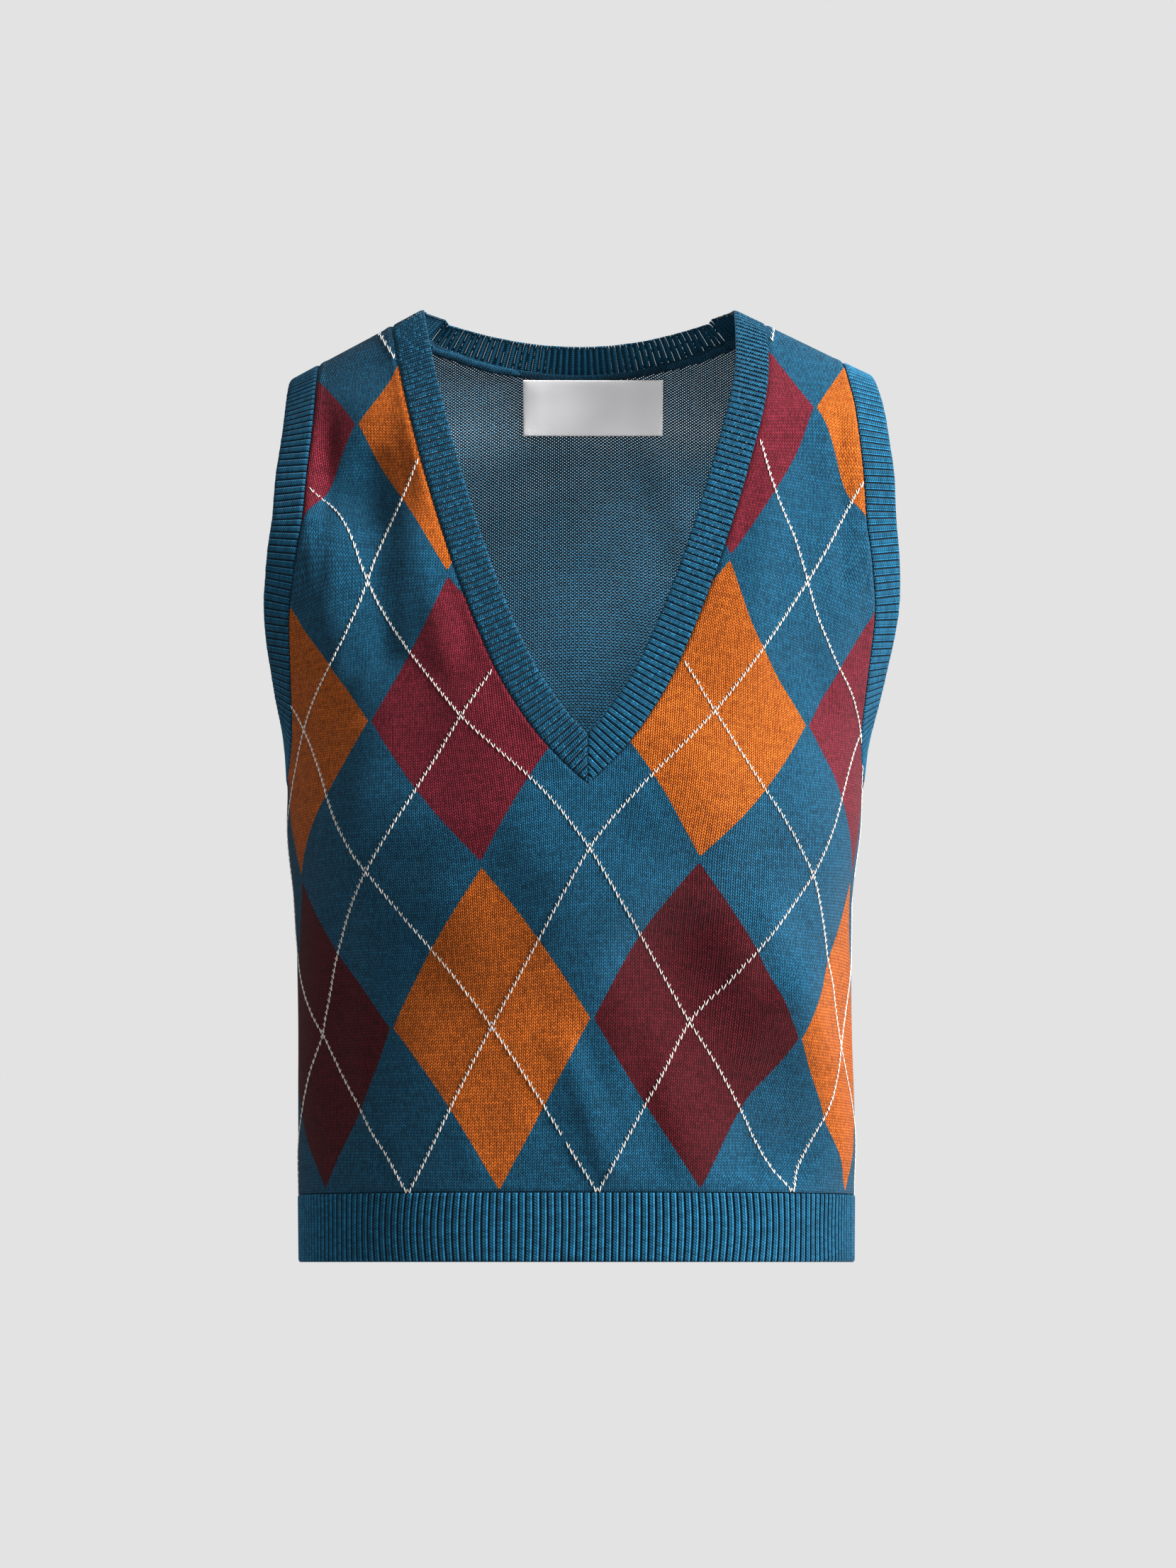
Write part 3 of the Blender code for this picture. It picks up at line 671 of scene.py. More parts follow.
def panel_shares(side, sign):
    """Shares of a panel's columns, inner edge first."""
    if side == FRONT:
        return with_edges(np.linspace(0, 1, FRONT_COLUMNS + 1))
    crest = shoulder_line(sign * BACK_NECK_HALF_WIDTH)
    inner = inner_turn(BACK, sign, crest)
    corner = turn_at(sign * BACK_NECK_HALF_WIDTH, crest) - inner
    corner = corner / (sign * outer_turn(BACK, crest) - inner)
    neck = corner * np.linspace(0, 1, BACK_NECK_COLUMNS, endpoint=False)
    shoulder = np.linspace(corner, 1, BACK_SHOULDER_COLUMNS + 1)[:-1]
    return np.concatenate((neck, shoulder, 1 - np.array(EDGE_SHARES[::-1])))


# The cloth's own relief ---------------------------------------------------------------------

def run_lengths(points, axis):
    """Lengths from each point to the first and to the last one along an axis."""
    steps = np.linalg.norm(np.diff(points, axis=axis), axis=-1)
    start = np.zeros_like(np.take(steps, [0], axis=axis))
    first = np.concatenate((start, np.cumsum(steps, axis=axis)), axis=axis)
    return first, np.take(first, [-1], axis=axis) - first


def groove(distance, depth, reach):
    """Cloth turned under or drawn in along a line."""
    return -depth * np.exp(-(distance / reach) ** 2)


def bead(distance, place, width, height):
    """Cloth heaped up beside a seam."""
    return height * np.exp(-((distance - place) / width) ** 2)


def sewn(distance, edge):
    """The relief beside a sewn edge."""
    return (groove(distance, edge.depth, edge.reach)
            + bead(distance, edge.place, edge.width, edge.height))


def ease(distance, reach):
    """A share that grows from 0 at a seam to 1 at some reach from it."""
    t = np.clip(distance / reach, 0, 1)
    return t * t * (3 - 2 * t)


def grown(distance, start, reach):
    """A share that grows from its start at an edge to 1 at some reach from it."""
    return start + (1 - start) * ease(distance, reach)


def ripples(x, rows):
    """Small waves along a line, each with its height and length."""
    return sum(height * np.sin(x / reach) for height, reach in rows)


def pucker(along, distance, pitch, start):
    """Uneven gathers where a band's seam draws the cloth in."""
    drift = PUCKER_DRIFT * np.sin(along / PUCKER_DRIFT_LENGTH + start)
    wave = np.sin(2 * np.pi * along / pitch + start + drift)
    return PUCKER_HEIGHT * wave * np.exp(-distance / PUCKER_REACH) * ease(distance, PUCKER_START)


def waves(x, z, start):
    """The slow unevenness at a place."""
    return sum(wave.height * np.sin(2 * np.pi * (wave.across * x + wave.down * z) / 100
                                    + wave.start + start) for wave in WAVES)


def panel_half(side, sign, strength):
    """One half of a panel, inner edge first: its points, directions and place in the knitting."""
    shares = panel_shares(side, sign)
    points = row_points(side, sign, row_drops()[:, None], shares[None, :])
    facing = outward(side, points)
    inner, outer = run_lengths(points, 1)
    top, bottom = run_lengths(points, 0)
    x, z = points[..., 0], points[..., 2]
    neck, point = FAR + 0 * x, FAR
    if side == FRONT:
        neck = np.where(z > V_POINT + 0.01, inner, FAR)
        point = np.hypot(x - read(V_NECK, "middle", V_POINT), z - V_POINT)
    side_seam = np.where(z < UNDERARM, outer, FAR)
    armhole = np.where(z >= UNDERARM, outer, FAR)
    start = BACK_WAVE_START if side == BACK else 0.0
    soft = fold_height(FINE_FOLDS, side, x, z) + WAVE_STRENGTH * waves(x, z, start)
    seam = np.minimum(np.minimum(neck, armhole), point)
    soft = soft * strength * ease(seam, SEAM_EASE) * ease(top, TOP_EASE) * ease(bottom, SEAM_EASE)
    soft = soft * np.minimum(1.0, FACING_GAIN * abs(facing[..., 1]))
    relief = soft * ease(side_seam, SIDE_EASE)
    relief += sewn(neck, NECK_EDGE) + pucker(top, neck, NECK_PUCKER, start=0.4 * sign)
    relief += sewn(armhole, ARMHOLE_EDGE) + pucker(top, armhole, ARMHOLE_PUCKER, start=2 + sign)
    relief += groove(side_seam, **SIDE_GROOVE)
    relief += sewn(top, SHOULDER_EDGE)
    relief += sewn(bottom, HEM_EDGE)
    if side == FRONT:
        column, row = chart_at(x, z)
        stitches = np.stack((column * COLUMN_WALES, row * ROW_COURSES), -1)
    else:
        stitches = np.stack((sign * inner / BACK_WALE, bottom / BACK_COURSE), -1)
    return points + facing * relief[..., None], facing, stitches


# The argyle's chart -------------------------------------------------------------------------

def chart_place(x, z):
    """A place on the front, unrolled, in hundreds of millimetres."""
    turn = turn_at(x, z)
    angle = np.arctan2(x - read(BODY, "lean", z), plain_depth(FRONT, turn, z))
    return np.stack((CHART_RADIUS * angle, z), -1) / CHART_UNIT


def bend(distance_squared):
    """A thin plate's bending under one point."""
    return 0.5 * distance_squared * np.log(np.maximum(distance_squared, TINY))


def fit_chart():
    """A smooth sheet through the chart's points: places, weights and plain slope."""
    places = chart_place(*(np.array([getattr(point, axis) for point in CHART]) for axis in "xz"))
    targets = np.array([(point.column, point.row) for point in CHART], float)
    count = len(places)
    kernel = bend(((places[:, None] - places[None]) ** 2).sum(-1)) + CHART_SLACK * np.eye(count)
    plain = np.concatenate((np.ones((count, 1)), places), 1)
    system = np.block([[kernel, plain], [plain.T, np.zeros((3, 3))]])
    solved = np.linalg.solve(system, np.concatenate((targets, np.zeros((3, 2)))))
    return places, solved[:count], solved[count:]


CHART_FIT = fit_chart()


def chart_at(x, z):
    """Column and row of the chart at places on the front."""
    places, weights, plain = CHART_FIT
    at = chart_place(x, z)
    squared = ((at[..., None, :] - places) ** 2).sum(-1)
    found = bend(squared) @ weights + plain[0] + at @ plain[1:]
    return found[..., 0], found[..., 1]


# Meshes -------------------------------------------------------------------------------------

def grid_mesh(bm, points, stitches, cut_column=None):
    """A grid placed by its rows and columns, seen face on with row 0 at the top."""
    rows, columns = points.shape[:2]
    layer = bm.loops.layers.uv.get("UVMap") or bm.loops.layers.uv.new("UVMap")
    made = bmesh.ops.create_grid(bm, x_segments=columns - 1, y_segments=rows - 1, size=1.0)
    spots, knitted = (points * MM).tolist(), stitches.tolist()
    places = {}
    for vert in made["verts"]:
        column = round((vert.co.x + 1) / 2 * (columns - 1))
        row = round((1 - vert.co.y) / 2 * (rows - 1))
        places[vert] = (row, column)
        vert.co = spots[row][column]
    faces = {face for vert in made["verts"] for face in vert.link_faces}
    for face in faces:
        for loop in face.loops:
            row, column = places[loop.vert]
            loop[layer].uv = knitted[row][column]
    if cut_column is not None:
        gap = {cut_column, cut_column + 1}
        cut = [face for face in faces if {places[vert][1] for vert in face.verts} == gap]
        bmesh.ops.delete(bm, geom=cut, context="FACES")


def pour(part, whole):
    """Adds one bmesh to another, and gives a new empty one for the next part."""
    mesh = bpy.data.meshes.new("part")
    part.to_mesh(mesh)
    part.free()
    whole.from_mesh(mesh)
    bpy.data.meshes.remove(mesh)
    return bmesh.new()


def finish_mesh(bm, name, materials, wall=None):
    """An object for a finished mesh; a wall grows inside the modelled face."""
    bmesh.ops.remove_doubles(bm, verts=bm.verts, dist=MERGE)
    mesh = bpy.data.meshes.new(name)
    bm.to_mesh(mesh)
    bm.free()
    for material in materials:
        mesh.materials.append(material)
    mesh.shade_smooth()
    item = bpy.data.objects.new(name, mesh)
    bpy.context.scene.collection.objects.link(item)
    if wall:
        solid = item.modifiers.new("Wall", "SOLIDIFY")
        solid.thickness = wall
        solid.offset = -1.0
        solid.use_even_offset = False
        solid.material_offset = len(materials) - 1
        solid.material_offset_rim = 0
    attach(item, BODY_NAME)
    return item


def knit_piece(name, points, stitches, materials, wall, cut_column=None):
    """A piece of cloth from one grid of points."""
    bm = bmesh.new()
    grid_mesh(bm, points, stitches, cut_column)
    return finish_mesh(bm, name, materials, wall)


def stand_for(node):
    """The piece takes a frame node's place: that node is hidden."""
    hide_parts(node)


# Shader nodes -------------------------------------------------------------------------------

class Value:
    """A socket that Python's operators can be used on; each adds its Math node."""

    def __init__(self, finish, socket):
        self.finish = finish
        self.socket = socket

    def math(self, operation, *others):
        return self.finish.node("ShaderNodeMath", {"operation": operation}, (self, *others))

    def __add__(self, other):
        return self.math("ADD", other)

    def __sub__(self, other):
        return self.math("SUBTRACT", other)

    def __rsub__(self, other):
        return self.finish.node("ShaderNodeMath", {"operation": "SUBTRACT"}, (other, self))

    def __mul__(self, other):
        return self.math("MULTIPLY", other)

    __radd__ = __add__
    __rmul__ = __mul__

    def __truediv__(self, other):
        return self.math("DIVIDE", other)

    def __pow__(self, other):
        return self.math("POWER", other)

    def __abs__(self):
        return self.math("ABSOLUTE")

    def __lt__(self, other):
        return self.math("LESS_THAN", other)

    def __gt__(self, other):
        return self.math("GREATER_THAN", other)

    def floor(self):
        return self.math("FLOOR")

    def fraction(self):
        return self.math("FRACT")

    def cosine(self):
        """The cosine of a whole number of turns."""
        return (self * (2 * math.pi)).math("COSINE")

    def even(self):
        """1 where the whole number is even."""
        return self.math("FLOORED_MODULO", 2) < 0.5

    def span(self, low, high):
        """0 below low and 1 above high, smooth between them."""
        return self.finish.node("ShaderNodeMapRange", {"interpolation_type": "SMOOTHSTEP"},
                                (self, low, high, 0.0, 1.0))

    def between(self, start, started, end, ended):
        """1 from started to end, and 0 before start and after ended."""
        return self.span(start, started) * (1 - self.span(end, ended))

    def hump(self):
        """0 where the value is 0 or 1, and 1 half way between."""
        return self * (1 - self) * 4

    def swell(self, fullness):
        """A hump that is never quite 0, and fuller for a lower power."""
        return (self.hump() + SWELL_FLOOR) ** fullness

    def raised(self, floor):
        """A value from 0 to 1 as one from a floor to 1."""
        return floor + (1 - floor) * self

    def wander(self, size):
        """How far a noise strays from its middle, times a size."""
        return size * (self - 0.5)

    def from_middle(self):
        """0 in the middle of each whole step, and 1 at its ends."""
        return abs(self.fraction() - 0.5) * 2


class Finish:
    """A material's nodes, added one at a time."""

    def __init__(self, name, roughness, sheen=0.0, sheen_roughness=0.5, specular=0.5):
        self.material = bpy.data.materials.new(name)
        self.material.use_nodes = True
        self.tree = self.material.node_tree
        self.shader = self.tree.nodes["Principled BSDF"]
        self.give("Roughness", roughness)
        self.give("Sheen Weight", sheen)
        self.give("Sheen Roughness", sheen_roughness)
        self.give("Specular IOR Level", specular)

    def node(self, kind, settings=None, values=(), output=0):
        """Adds a node, sets it, and fills or links its sockets; returns its output."""
        made = self.tree.nodes.new(kind)
        for name, setting in (settings or {}).items():
            setattr(made, name, setting)
        named = values.items() if isinstance(values, dict) else enumerate(values)
        for key, value in named:
            self.feed(made.inputs[key], value)
        return Value(self, made.outputs[output])

    def feed(self, socket, value):
        """Links a value to a socket, or sets a plain number or colour on it."""
        if isinstance(value, Value):
            self.tree.links.new(value.socket, socket)
        else:
            socket.default_value = value

    def give(self, name, value):
        """Feeds one of the shader's own sockets."""
        self.feed(self.shader.inputs[name], value)

    def mix(self, factor, low, high):
        """A colour between two."""
        def four(value):
            return value if isinstance(value, Value) else (*value, 1.0)
        return self.node("ShaderNodeMix", {"data_type": "RGBA", "clamp_factor": True},
                         {0: factor, 6: four(low), 7: four(high)}, output=2)

    def colour(self, tint, lightness):
        """Gives the shader a colour made darker or lighter."""
        tint = tint if isinstance(tint, Value) else tuple(tint)
        self.give("Base Color", self.node("ShaderNodeVectorMath", {"operation": "SCALE"},
                                          {0: tint, 3: lightness}))

    def apart(self, at):
        """The three numbers of a place."""
        parts = self.tree.nodes.new("ShaderNodeSeparateXYZ")
        self.feed(parts.inputs[0], at)
        return [Value(self, part) for part in parts.outputs]

    def stitches(self):
        """The knitting's wale and course at a place."""
        return self.apart(self.node("ShaderNodeUVMap", {"uv_map": "UVMap"}))[:2]

    def pair(self, x, y, z=0.0):
        """A place from its numbers."""
        return self.node("ShaderNodeCombineXYZ", None, (x, y, z))

    def cloud(self, at, scale=1.0, detail=2.0):
        """Soft noise round 0.5."""
        return self.node("ShaderNodeTexNoise", {"noise_dimensions": "3D"},
                         {"Vector": at, "Scale": scale, "Detail": detail})

    def broad_cloud(self):
        """Slow noise over the object."""
        return self.cloud(self.place(), BROAD_PER_METRE)

    def knit_cloud(self, u, v, spread, detail):
        """Noise that follows the knitting."""
        return self.cloud(self.pair(u * spread[0], v * spread[1]), detail=detail)

    def dice(self, x, y):
        """A number from 0 to 1 for each whole place."""
        return self.node("ShaderNodeTexWhiteNoise", {"noise_dimensions": "2D"},
                         {"Vector": self.pair(x, y)})

    def place(self):
        """Places on the object."""
        return self.node("ShaderNodeTexCoord", None, (), output=3)

    def bump(self, height, distance, strength=1.0):
        """Gives the shader a relief."""
        self.give("Normal", self.node("ShaderNodeBump", None, {
            "Strength": strength, "Distance": distance, "Height": height}))


def knit_loops(u, v):
    """Height of plain knit stitches, each a pair of slanting legs, and the course they are in."""
    t = u.from_middle()
    lean = v - t * SLANT
    loop = lean.fraction().swell(LOOP_FULLNESS)
    return t.swell(LEG_FULLNESS) * loop.raised(LOOP_DIP), lean.floor()


def dye_and_painted_shade(finish, u, course, loops):
    """How light each stitch is: dyed unevenly, with painted shade in the gaps between its yarns
    and a painted highlight on their crests.
    """
    single = finish.dice((u * 2).floor(), course)
    streak = finish.knit_cloud(u, course, STREAK_SPREAD, detail=3.0)
    grain = finish.knit_cloud(u, course, GRAIN_SPREAD, detail=1.0)
    dye = (KNIT_DYE.even + KNIT_DYE.single * single + grain.wander(KNIT_DYE.grain)
           + streak.wander(KNIT_DYE.streak) + finish.broad_cloud().wander(KNIT_DYE.broad))
    # Painted shade in the gaps and painted highlight on the crests, times the dye
    return (GAP_PAINTED_SHADE + CREST_PAINTED_HIGHLIGHT * loops ** PAINTED_SHADE_CONTRAST) * dye


def argyle_knit(yarns, sizes):
    """The front's outside: the argyle, knitted in, its diamonds' edges stepping half by stitch."""
    finish = Finish("argyle_knit", **WOOL)
    u, v = finish.stitches()
    loops, course = knit_loops(u, v)
    half = (((u * 2).floor() + 0.5) * 0.25 + u * 0.5) / COLUMN_WALES / 2 - 0.5
    tall = (course * 0.6 + (v - 0.5) * 0.4 + 0.5) / ROW_COURSES / 2
    rising, falling = half + tall, half - tall
    clear = ((abs(rising.fraction() - 0.5) > DIAMOND_GAP)
             * (abs(falling.fraction() - 0.5) > DIAMOND_GAP))
    rising, falling = ((line + 0.5).floor() for line in (rising, falling))
    burgundy = finish.mix(tall > LOWEST_ROW / 2, yarns.maroon, yarns.burgundy)
    diamond = finish.mix(rising.even(), yarns.orange, burgundy)
    tint = finish.mix((rising + falling).even() * clear, yarns.teal, diamond)
    finish.colour(tint, dye_and_painted_shade(finish, u, course, loops))
    finish.bump(loops, sizes.stitch_relief)
    return finish.material


def plain_knit(name, yarn, sizes, light=1.0, holes=0.0):
    """Plain knitting in one yarn, with gaps between its stitches where they are asked for."""
    finish = Finish(name, **WOOL)
    u, v = finish.stitches()
    loops, course = knit_loops(u, v)
    # The yarn is scaled by light for each piece: the same teal, painted darker as shade on pieces
    # inside the vest and painted lighter on the turned edge
    finish.colour([light * part for part in yarn], dye_and_painted_shade(finish, u, course, loops))
    finish.bump(loops, sizes.stitch_relief)
    if holes:
        finish.give("Alpha", pinholes(finish, u, v, holes))
    return finish.material


def purl_knit(name, yarn, sizes, light=1.0, holes=0.0):
    """The cloth's wrong side: rows of short bars with painted shade between them, lit through
    where it is stretched; inside the back, painted shade darkens it low down.
    """
    finish = Finish(name, **WOOL)
    u, v = finish.stitches()
    course = v.floor()
    shifted = u + 0.5 * course.even()
    bars = v.fraction().swell(BAR_FULLNESS) * shifted.fraction().hump().raised(BAR_DIP)
    lightness = dye_and_painted_shade(finish, shifted, course, bars)
    if holes:
        # Painted shade: darker low inside the back, lighter higher up
        lightness = lightness * (LOW_BACK_PAINTED_SHADE + UPPER_BACK_PAINTED_LIGHT * v.span(*STRETCHED_COURSES))
        finish.give("Alpha", pinholes(finish, u, v, holes))
    # The yarn is scaled by light for each piece: the same teal, painted darker as shade on the
    # insides
    finish.colour([light * part for part in yarn], lightness)
    finish.bump(bars, sizes.stitch_relief)
    return finish.material


def pinholes(finish, u, v, width):
    """1 on the yarn and 0 in the gaps, two for each stitch, wider where the cloth is stretched."""
    weave = u.cosine() * v.cosine()
    single = finish.dice((u + v + 0.5).floor(), (u - v + 0.5).floor())
    broad = finish.knit_cloud(u, v, PINHOLE_SPREAD, detail=1.0)
    stretched = (FIRST_HOLES * v.span(*FIRST_COURSES)
                 + STRETCHED_HOLES * v.span(*STRETCHED_COURSES)
                 + TOP_HOLES * v.span(*TOP_COURSES))
    own = PINHOLE_DYE.even + PINHOLE_DYE.single * single + broad.wander(PINHOLE_DYE.broad)
    return 1 - (weave > 1 - width * stretched * own)


def rib_knit(name, yarn, sizes, look, holes=0.0):
    """A rib's knit: a valley darkened by painted shade, a wale of slanting strokes, a thin line
    and a beaded wale, each yarn with a painted highlight on its crest.
    """
    finish = Finish(name, **WOOL)
    u, v = finish.stitches()
    part = u.fraction()
    stroked = part.between(VALLEY_SOFT * look.valley, look.valley, look.strokes, look.line)
    beaded = part.between(look.line - LINE_SOFT_START, look.line + LINE_SOFT_END,
                          look.bead - BEAD_SOFT_START, look.bead + BEAD_SOFT_END)
    single = finish.dice(u.floor() * 3, v.floor())
    lightness, height = VALLEY_PAINTED_SHADE, 0.0
    for wale, where in ((STROKES, stroked), (BEADS, beaded)):
        yarn_run = (v + part * wale.slant).fraction().swell(wale.fullness)
        # Painted shade in the yarns' dips and painted highlight on their crests
        lightness = lightness + where * (wale.dark + wale.light * yarn_run ** wale.contrast)
        height = height + where * (wale.low + wale.rise * yarn_run)
    dye = RIB_DYE.even + RIB_DYE.single * single + finish.broad_cloud().wander(RIB_DYE.broad)
    finish.colour(yarn, lightness * dye)
    finish.bump(height, sizes.stitch_relief)
    if holes:
        finish.give("Alpha", rib_holes(finish, u, v, holes))
    return finish.material


def rib_inside(name, yarn, sizes, holes=0.0):
    """A rib's wrong side: soft columns, with a few gaps along the valleys between them."""
    finish = Finish(name, **WOOL)
    u, v = finish.stitches()
    column = u.from_middle()
    fuzz = finish.knit_cloud(u, v, FUZZ_SPREAD, detail=3.0)
    bars = v.fraction().swell(INSIDE_FULLNESS)
    light, height = INSIDE_PAINTED_SHADE_AND_FUZZ, INSIDE_HEIGHT
    # Painted shade: darker in the dips between columns and bars, lighter where they and the fuzz
    # stand high
    finish.colour(yarn, INSIDE_DEEPEST_PAINTED_SHADE + light.column * column + light.fuzz * (fuzz - FUZZ_MIDDLE)
                  + light.bars * bars)
    finish.bump(height.column * column + height.bars * bars + height.fuzz * fuzz,
                sizes.stitch_relief)
    if holes:
        finish.give("Alpha", rib_holes(finish, u, v, holes))
    return finish.material


def rib_holes(finish, u, v, width):
    """1 on the yarn and 0 in the gaps of a stretched rib, on both sides of its valley."""
    column = abs(u.from_middle() - RIB_HOLE.place)
    single = finish.dice((u * 2).floor(), v.floor())
    return 1 - ((column < RIB_HOLE.across * width) * (v.from_middle() < RIB_HOLE.down * width)
                * (single > RIB_HOLE.closed))


def satin(yarns):
    """The label's satin: fine threads across it, and long ones down it that start by turns."""
    finish = Finish("label_satin", **SATIN)
    x, _, z = finish.apart(finish.place())
    woven = (x * WEFT_PER_METRE).fraction().hump() * 0.5
    start = (x * WARP_PER_METRE).floor() * WARP_START
    threads = woven + (z * FLOAT_PER_METRE + start).fraction().hump() * 0.5
    soft = finish.cloud(finish.pair(x * SATIN_CLOUD[0], 0.0, z * SATIN_CLOUD[1]), detail=1.0)
    # Painted shade: a little darker between the threads
    finish.colour(yarns.satin, threads.raised(SATIN_GAP_PAINTED_SHADE) * (0.9 + 0.2 * soft))
    finish.bump(threads, SATIN_RELIEF, 0.5)
    return finish.material


def thread(name, tint):
    """A single yarn, twisted."""
    finish = Finish(name, **SEWING_THREAD)
    fuzz = finish.cloud(finish.place(), TWIST_PER_METRE)
    finish.colour(tint, TWIST_LIGHT + fuzz.wander(TWIST_VARIES))
    finish.bump(fuzz, TWIST_RELIEF, 0.6)
    return finish.material


# Pieces -------------------------------------------------------------------------------------

def build_panel(context, name, side, materials, wall):
    """A panel's two halves in one grid, cut open above the V's point on the front."""
    strength = context.scene.vest_sizes.fold_strength
    hands = (WEARER_RIGHT, WEARER_LEFT) if side == FRONT else (WEARER_LEFT, WEARER_RIGHT)
    first, second = (panel_half(side, sign, strength) for sign in hands)
    start = 0 if side == FRONT else 1
    points, stitches = (np.concatenate((first[part][:, ::-1], second[part][:, start:]), 1)
                        for part in (0, 2))
    cut_column = first[0].shape[1] - 1 if side == FRONT else None
    return knit_piece(name, points, stitches, materials, wall, cut_column)


class Seam:
    """A seam's route over the cloth."""

    def __init__(self, runs, closed=False):
        points = np.concatenate([points for _, points in runs])
        normals = np.concatenate([outward(side, points) for side, points in runs])
        if closed:
            points, normals = (np.concatenate((part, part[:1])) for part in (points, normals))
        steps = np.linalg.norm(np.diff(points, axis=0), axis=1)
        keep = np.concatenate(([True], steps > SHORTEST_STEP))
        self.points, self.normals, self.closed = points[keep], normals[keep], closed
        self.marks = np.concatenate(([0.0], np.cumsum(steps[steps > SHORTEST_STEP])))
        self.length = self.marks[-1]

    def at(self, distance, values):
        """Points or directions at distances along it."""
        distance = distance % self.length if self.closed else np.clip(distance, 0, self.length)
        return np.stack([np.interp(distance, self.marks, part) for part in values.T], -1)

    def stations(self, distance):
        """Point, direction away from the panel, and outward direction at distances along it."""
        normal = unit(self.at(distance, self.normals))
        ahead = self.at(distance + TANGENT_REACH, self.points)
        behind = self.at(distance - TANGENT_REACH, self.points)
        out = unit(np.cross(normal, unit(ahead - behind)))
        return self.at(distance, self.points), out, normal


def stitch_grid(wales, courses):
    """Wale and course at every point of a grid."""
    return np.stack(np.broadcast_arrays(wales, courses), -1)


def band_rows(width):
    """Distances across a band at which its rows stand."""
    middle = np.linspace(BAND_MIDDLE_START, width - BAND_MIDDLE_END, BAND_MIDDLE_ROWS)
    return np.concatenate((BAND_INNER_ROWS, middle, width - np.array(BAND_OUTER_ROWS)))


def rib_numbers(phase, ribs, seed):
    """An even random number from -1 to 1 for each rib, at every place along the ribs."""
    numbers = np.random.default_rng(seed).uniform(-1, 1, ribs + 2)
    return numbers[np.floor(phase).astype(int) % (ribs + 2)]


def rib_crest(phase, valley):
    """0 in the middle of a rib's valley and 1 on the rib."""
    turn = phase % 1
    return ease(np.minimum(turn, 1 - turn), valley)


def band_surface(seam, distance, ribs, width, relief, seed, middle=None):
    """A band's points and stitches: ribs across it, its edges rounded under."""
    point, out, normal = seam.stations(distance)
    phase = distance / seam.length * ribs
    own = rib_numbers(phase, ribs, seed)
    crest = rib_crest(phase, valley=0.27) * (1 + BAND_VARIES * own)
    rows = band_rows(width)[:, None]
    lift = relief * crest[None, :] * grown(rows, 0.5, reach=1.4)
    lift = lift * grown(width - rows, 0.2, reach=2.2)
    lift = lift + groove(rows, depth=0.45, reach=0.7) + groove(width - rows, depth=0.35, reach=0.4)
    sway = BAND_SWAY * np.sin(distance[None, :] / BAND_SWAY_LENGTH + seed)
    lift = lift + sway * ease(rows, width)
    reach = KNIT_GAP + rows + BAND_VARIES * own[None, :] * ease(rows, width)
    spots = point[None] + out[None] * reach[..., None] + normal[None] * lift[..., None]
    if middle is not None:
        behind = ease(spots[..., 1], BACK_NECK_REACH)
        spots[..., 2] += BACK_NECK_STAND * rows / width * behind
        off = np.where(spots[..., 1] < 0, np.abs(spots[..., 0] - middle), FAR)
        spots = spots + normal[None] * groove(off, depth=0.7, reach=0.8)[..., None]
    return spots, stitch_grid(phase[None, :], rows / BAND_COURSE)


def armhole_seam(sign):
    """The armhole's seam, up the front and down the back, the panel on the same hand all round."""
    drops = row_drops()
    drops = drops[drops <= -UNDERARM]
    front = row_points(FRONT, sign, drops[::-1], np.ones(len(drops)))
    back = row_points(BACK, sign, drops, np.ones(len(drops)))
    runs = [(FRONT, front), (BACK, back)]
    if sign == WEARER_LEFT:
        runs = [(side, points[::-1]) for side, points in reversed(runs)]
    return Seam(runs, closed=True)


def neck_run(sign):
    """The neck's seam on one side of the wearer, from the V's point to the centre back."""
    drops = row_drops()
    drops = drops[drops <= -V_POINT]
    front = row_points(FRONT, sign, drops[::-1], np.zeros(len(drops)))
    shares = panel_shares(BACK, sign)[:BACK_NECK_COLUMNS + 1]
    back = row_points(BACK, sign, np.zeros(len(shares)), shares)
    return [(FRONT, front), (BACK, back[::-1])]


def neck_seam():
    """The whole neck's seam, from the V's point round the back to it."""
    left, right = (neck_run(sign) for sign in (WEARER_LEFT, WEARER_RIGHT))
    return Seam(left + [(side, points[::-1]) for side, points in reversed(right)])


def shoulder_seam(sign):
    """The seam along a shoulder's crest."""
    shares = panel_shares(FRONT, sign)
    return Seam([(FRONT, row_points(FRONT, sign, np.zeros(len(shares)), shares))])


def side_seam(sign):
    """The seam down a side, from the underarm to the hem rib."""
    z = np.linspace(UNDERARM - 1, -BODY_LENGTH + 1, SIDE_STATIONS)
    return Seam([(FRONT, cloth_point(FRONT, sign * SIDE_TURN + 0 * z, z))])


def hem_ring(side, height):
    """A route along the hem from side seam to side seam."""
    turn = np.linspace(-SIDE_TURN, SIDE_TURN, HEM_STATIONS)
    points = cloth_point(side, turn, height + hem_rise(side, turn, height + 0 * turn))
    return Seam([(side, points)])


def allowance_surface(seam, distance, low, high, depth):
    """The narrow seam allowance behind a seam, wider behind the back's armholes."""
    down = np.linspace(0, 1, ALLOWANCE_ROWS)[:, None]
    point, out, normal = seam.stations(distance)
    behind = ease(point[:, 1], ALLOWANCE_BEHIND)
    wider = 1 + (np.abs(point[:, 0]) / ALLOWANCE_WIDEST) ** 2 * behind
    rows = low + (high * wider[None, :] - low) * down
    depth = depth - ALLOWANCE_CURL * np.abs(2 * down - 1) + 0 * distance[None, :]
    spots = point[None] + out[None] * rows[..., None] - normal[None] * depth[..., None]
    return spots, stitch_grid(distance[None, :] / TAPE_WALE, rows / TAPE_COURSE)


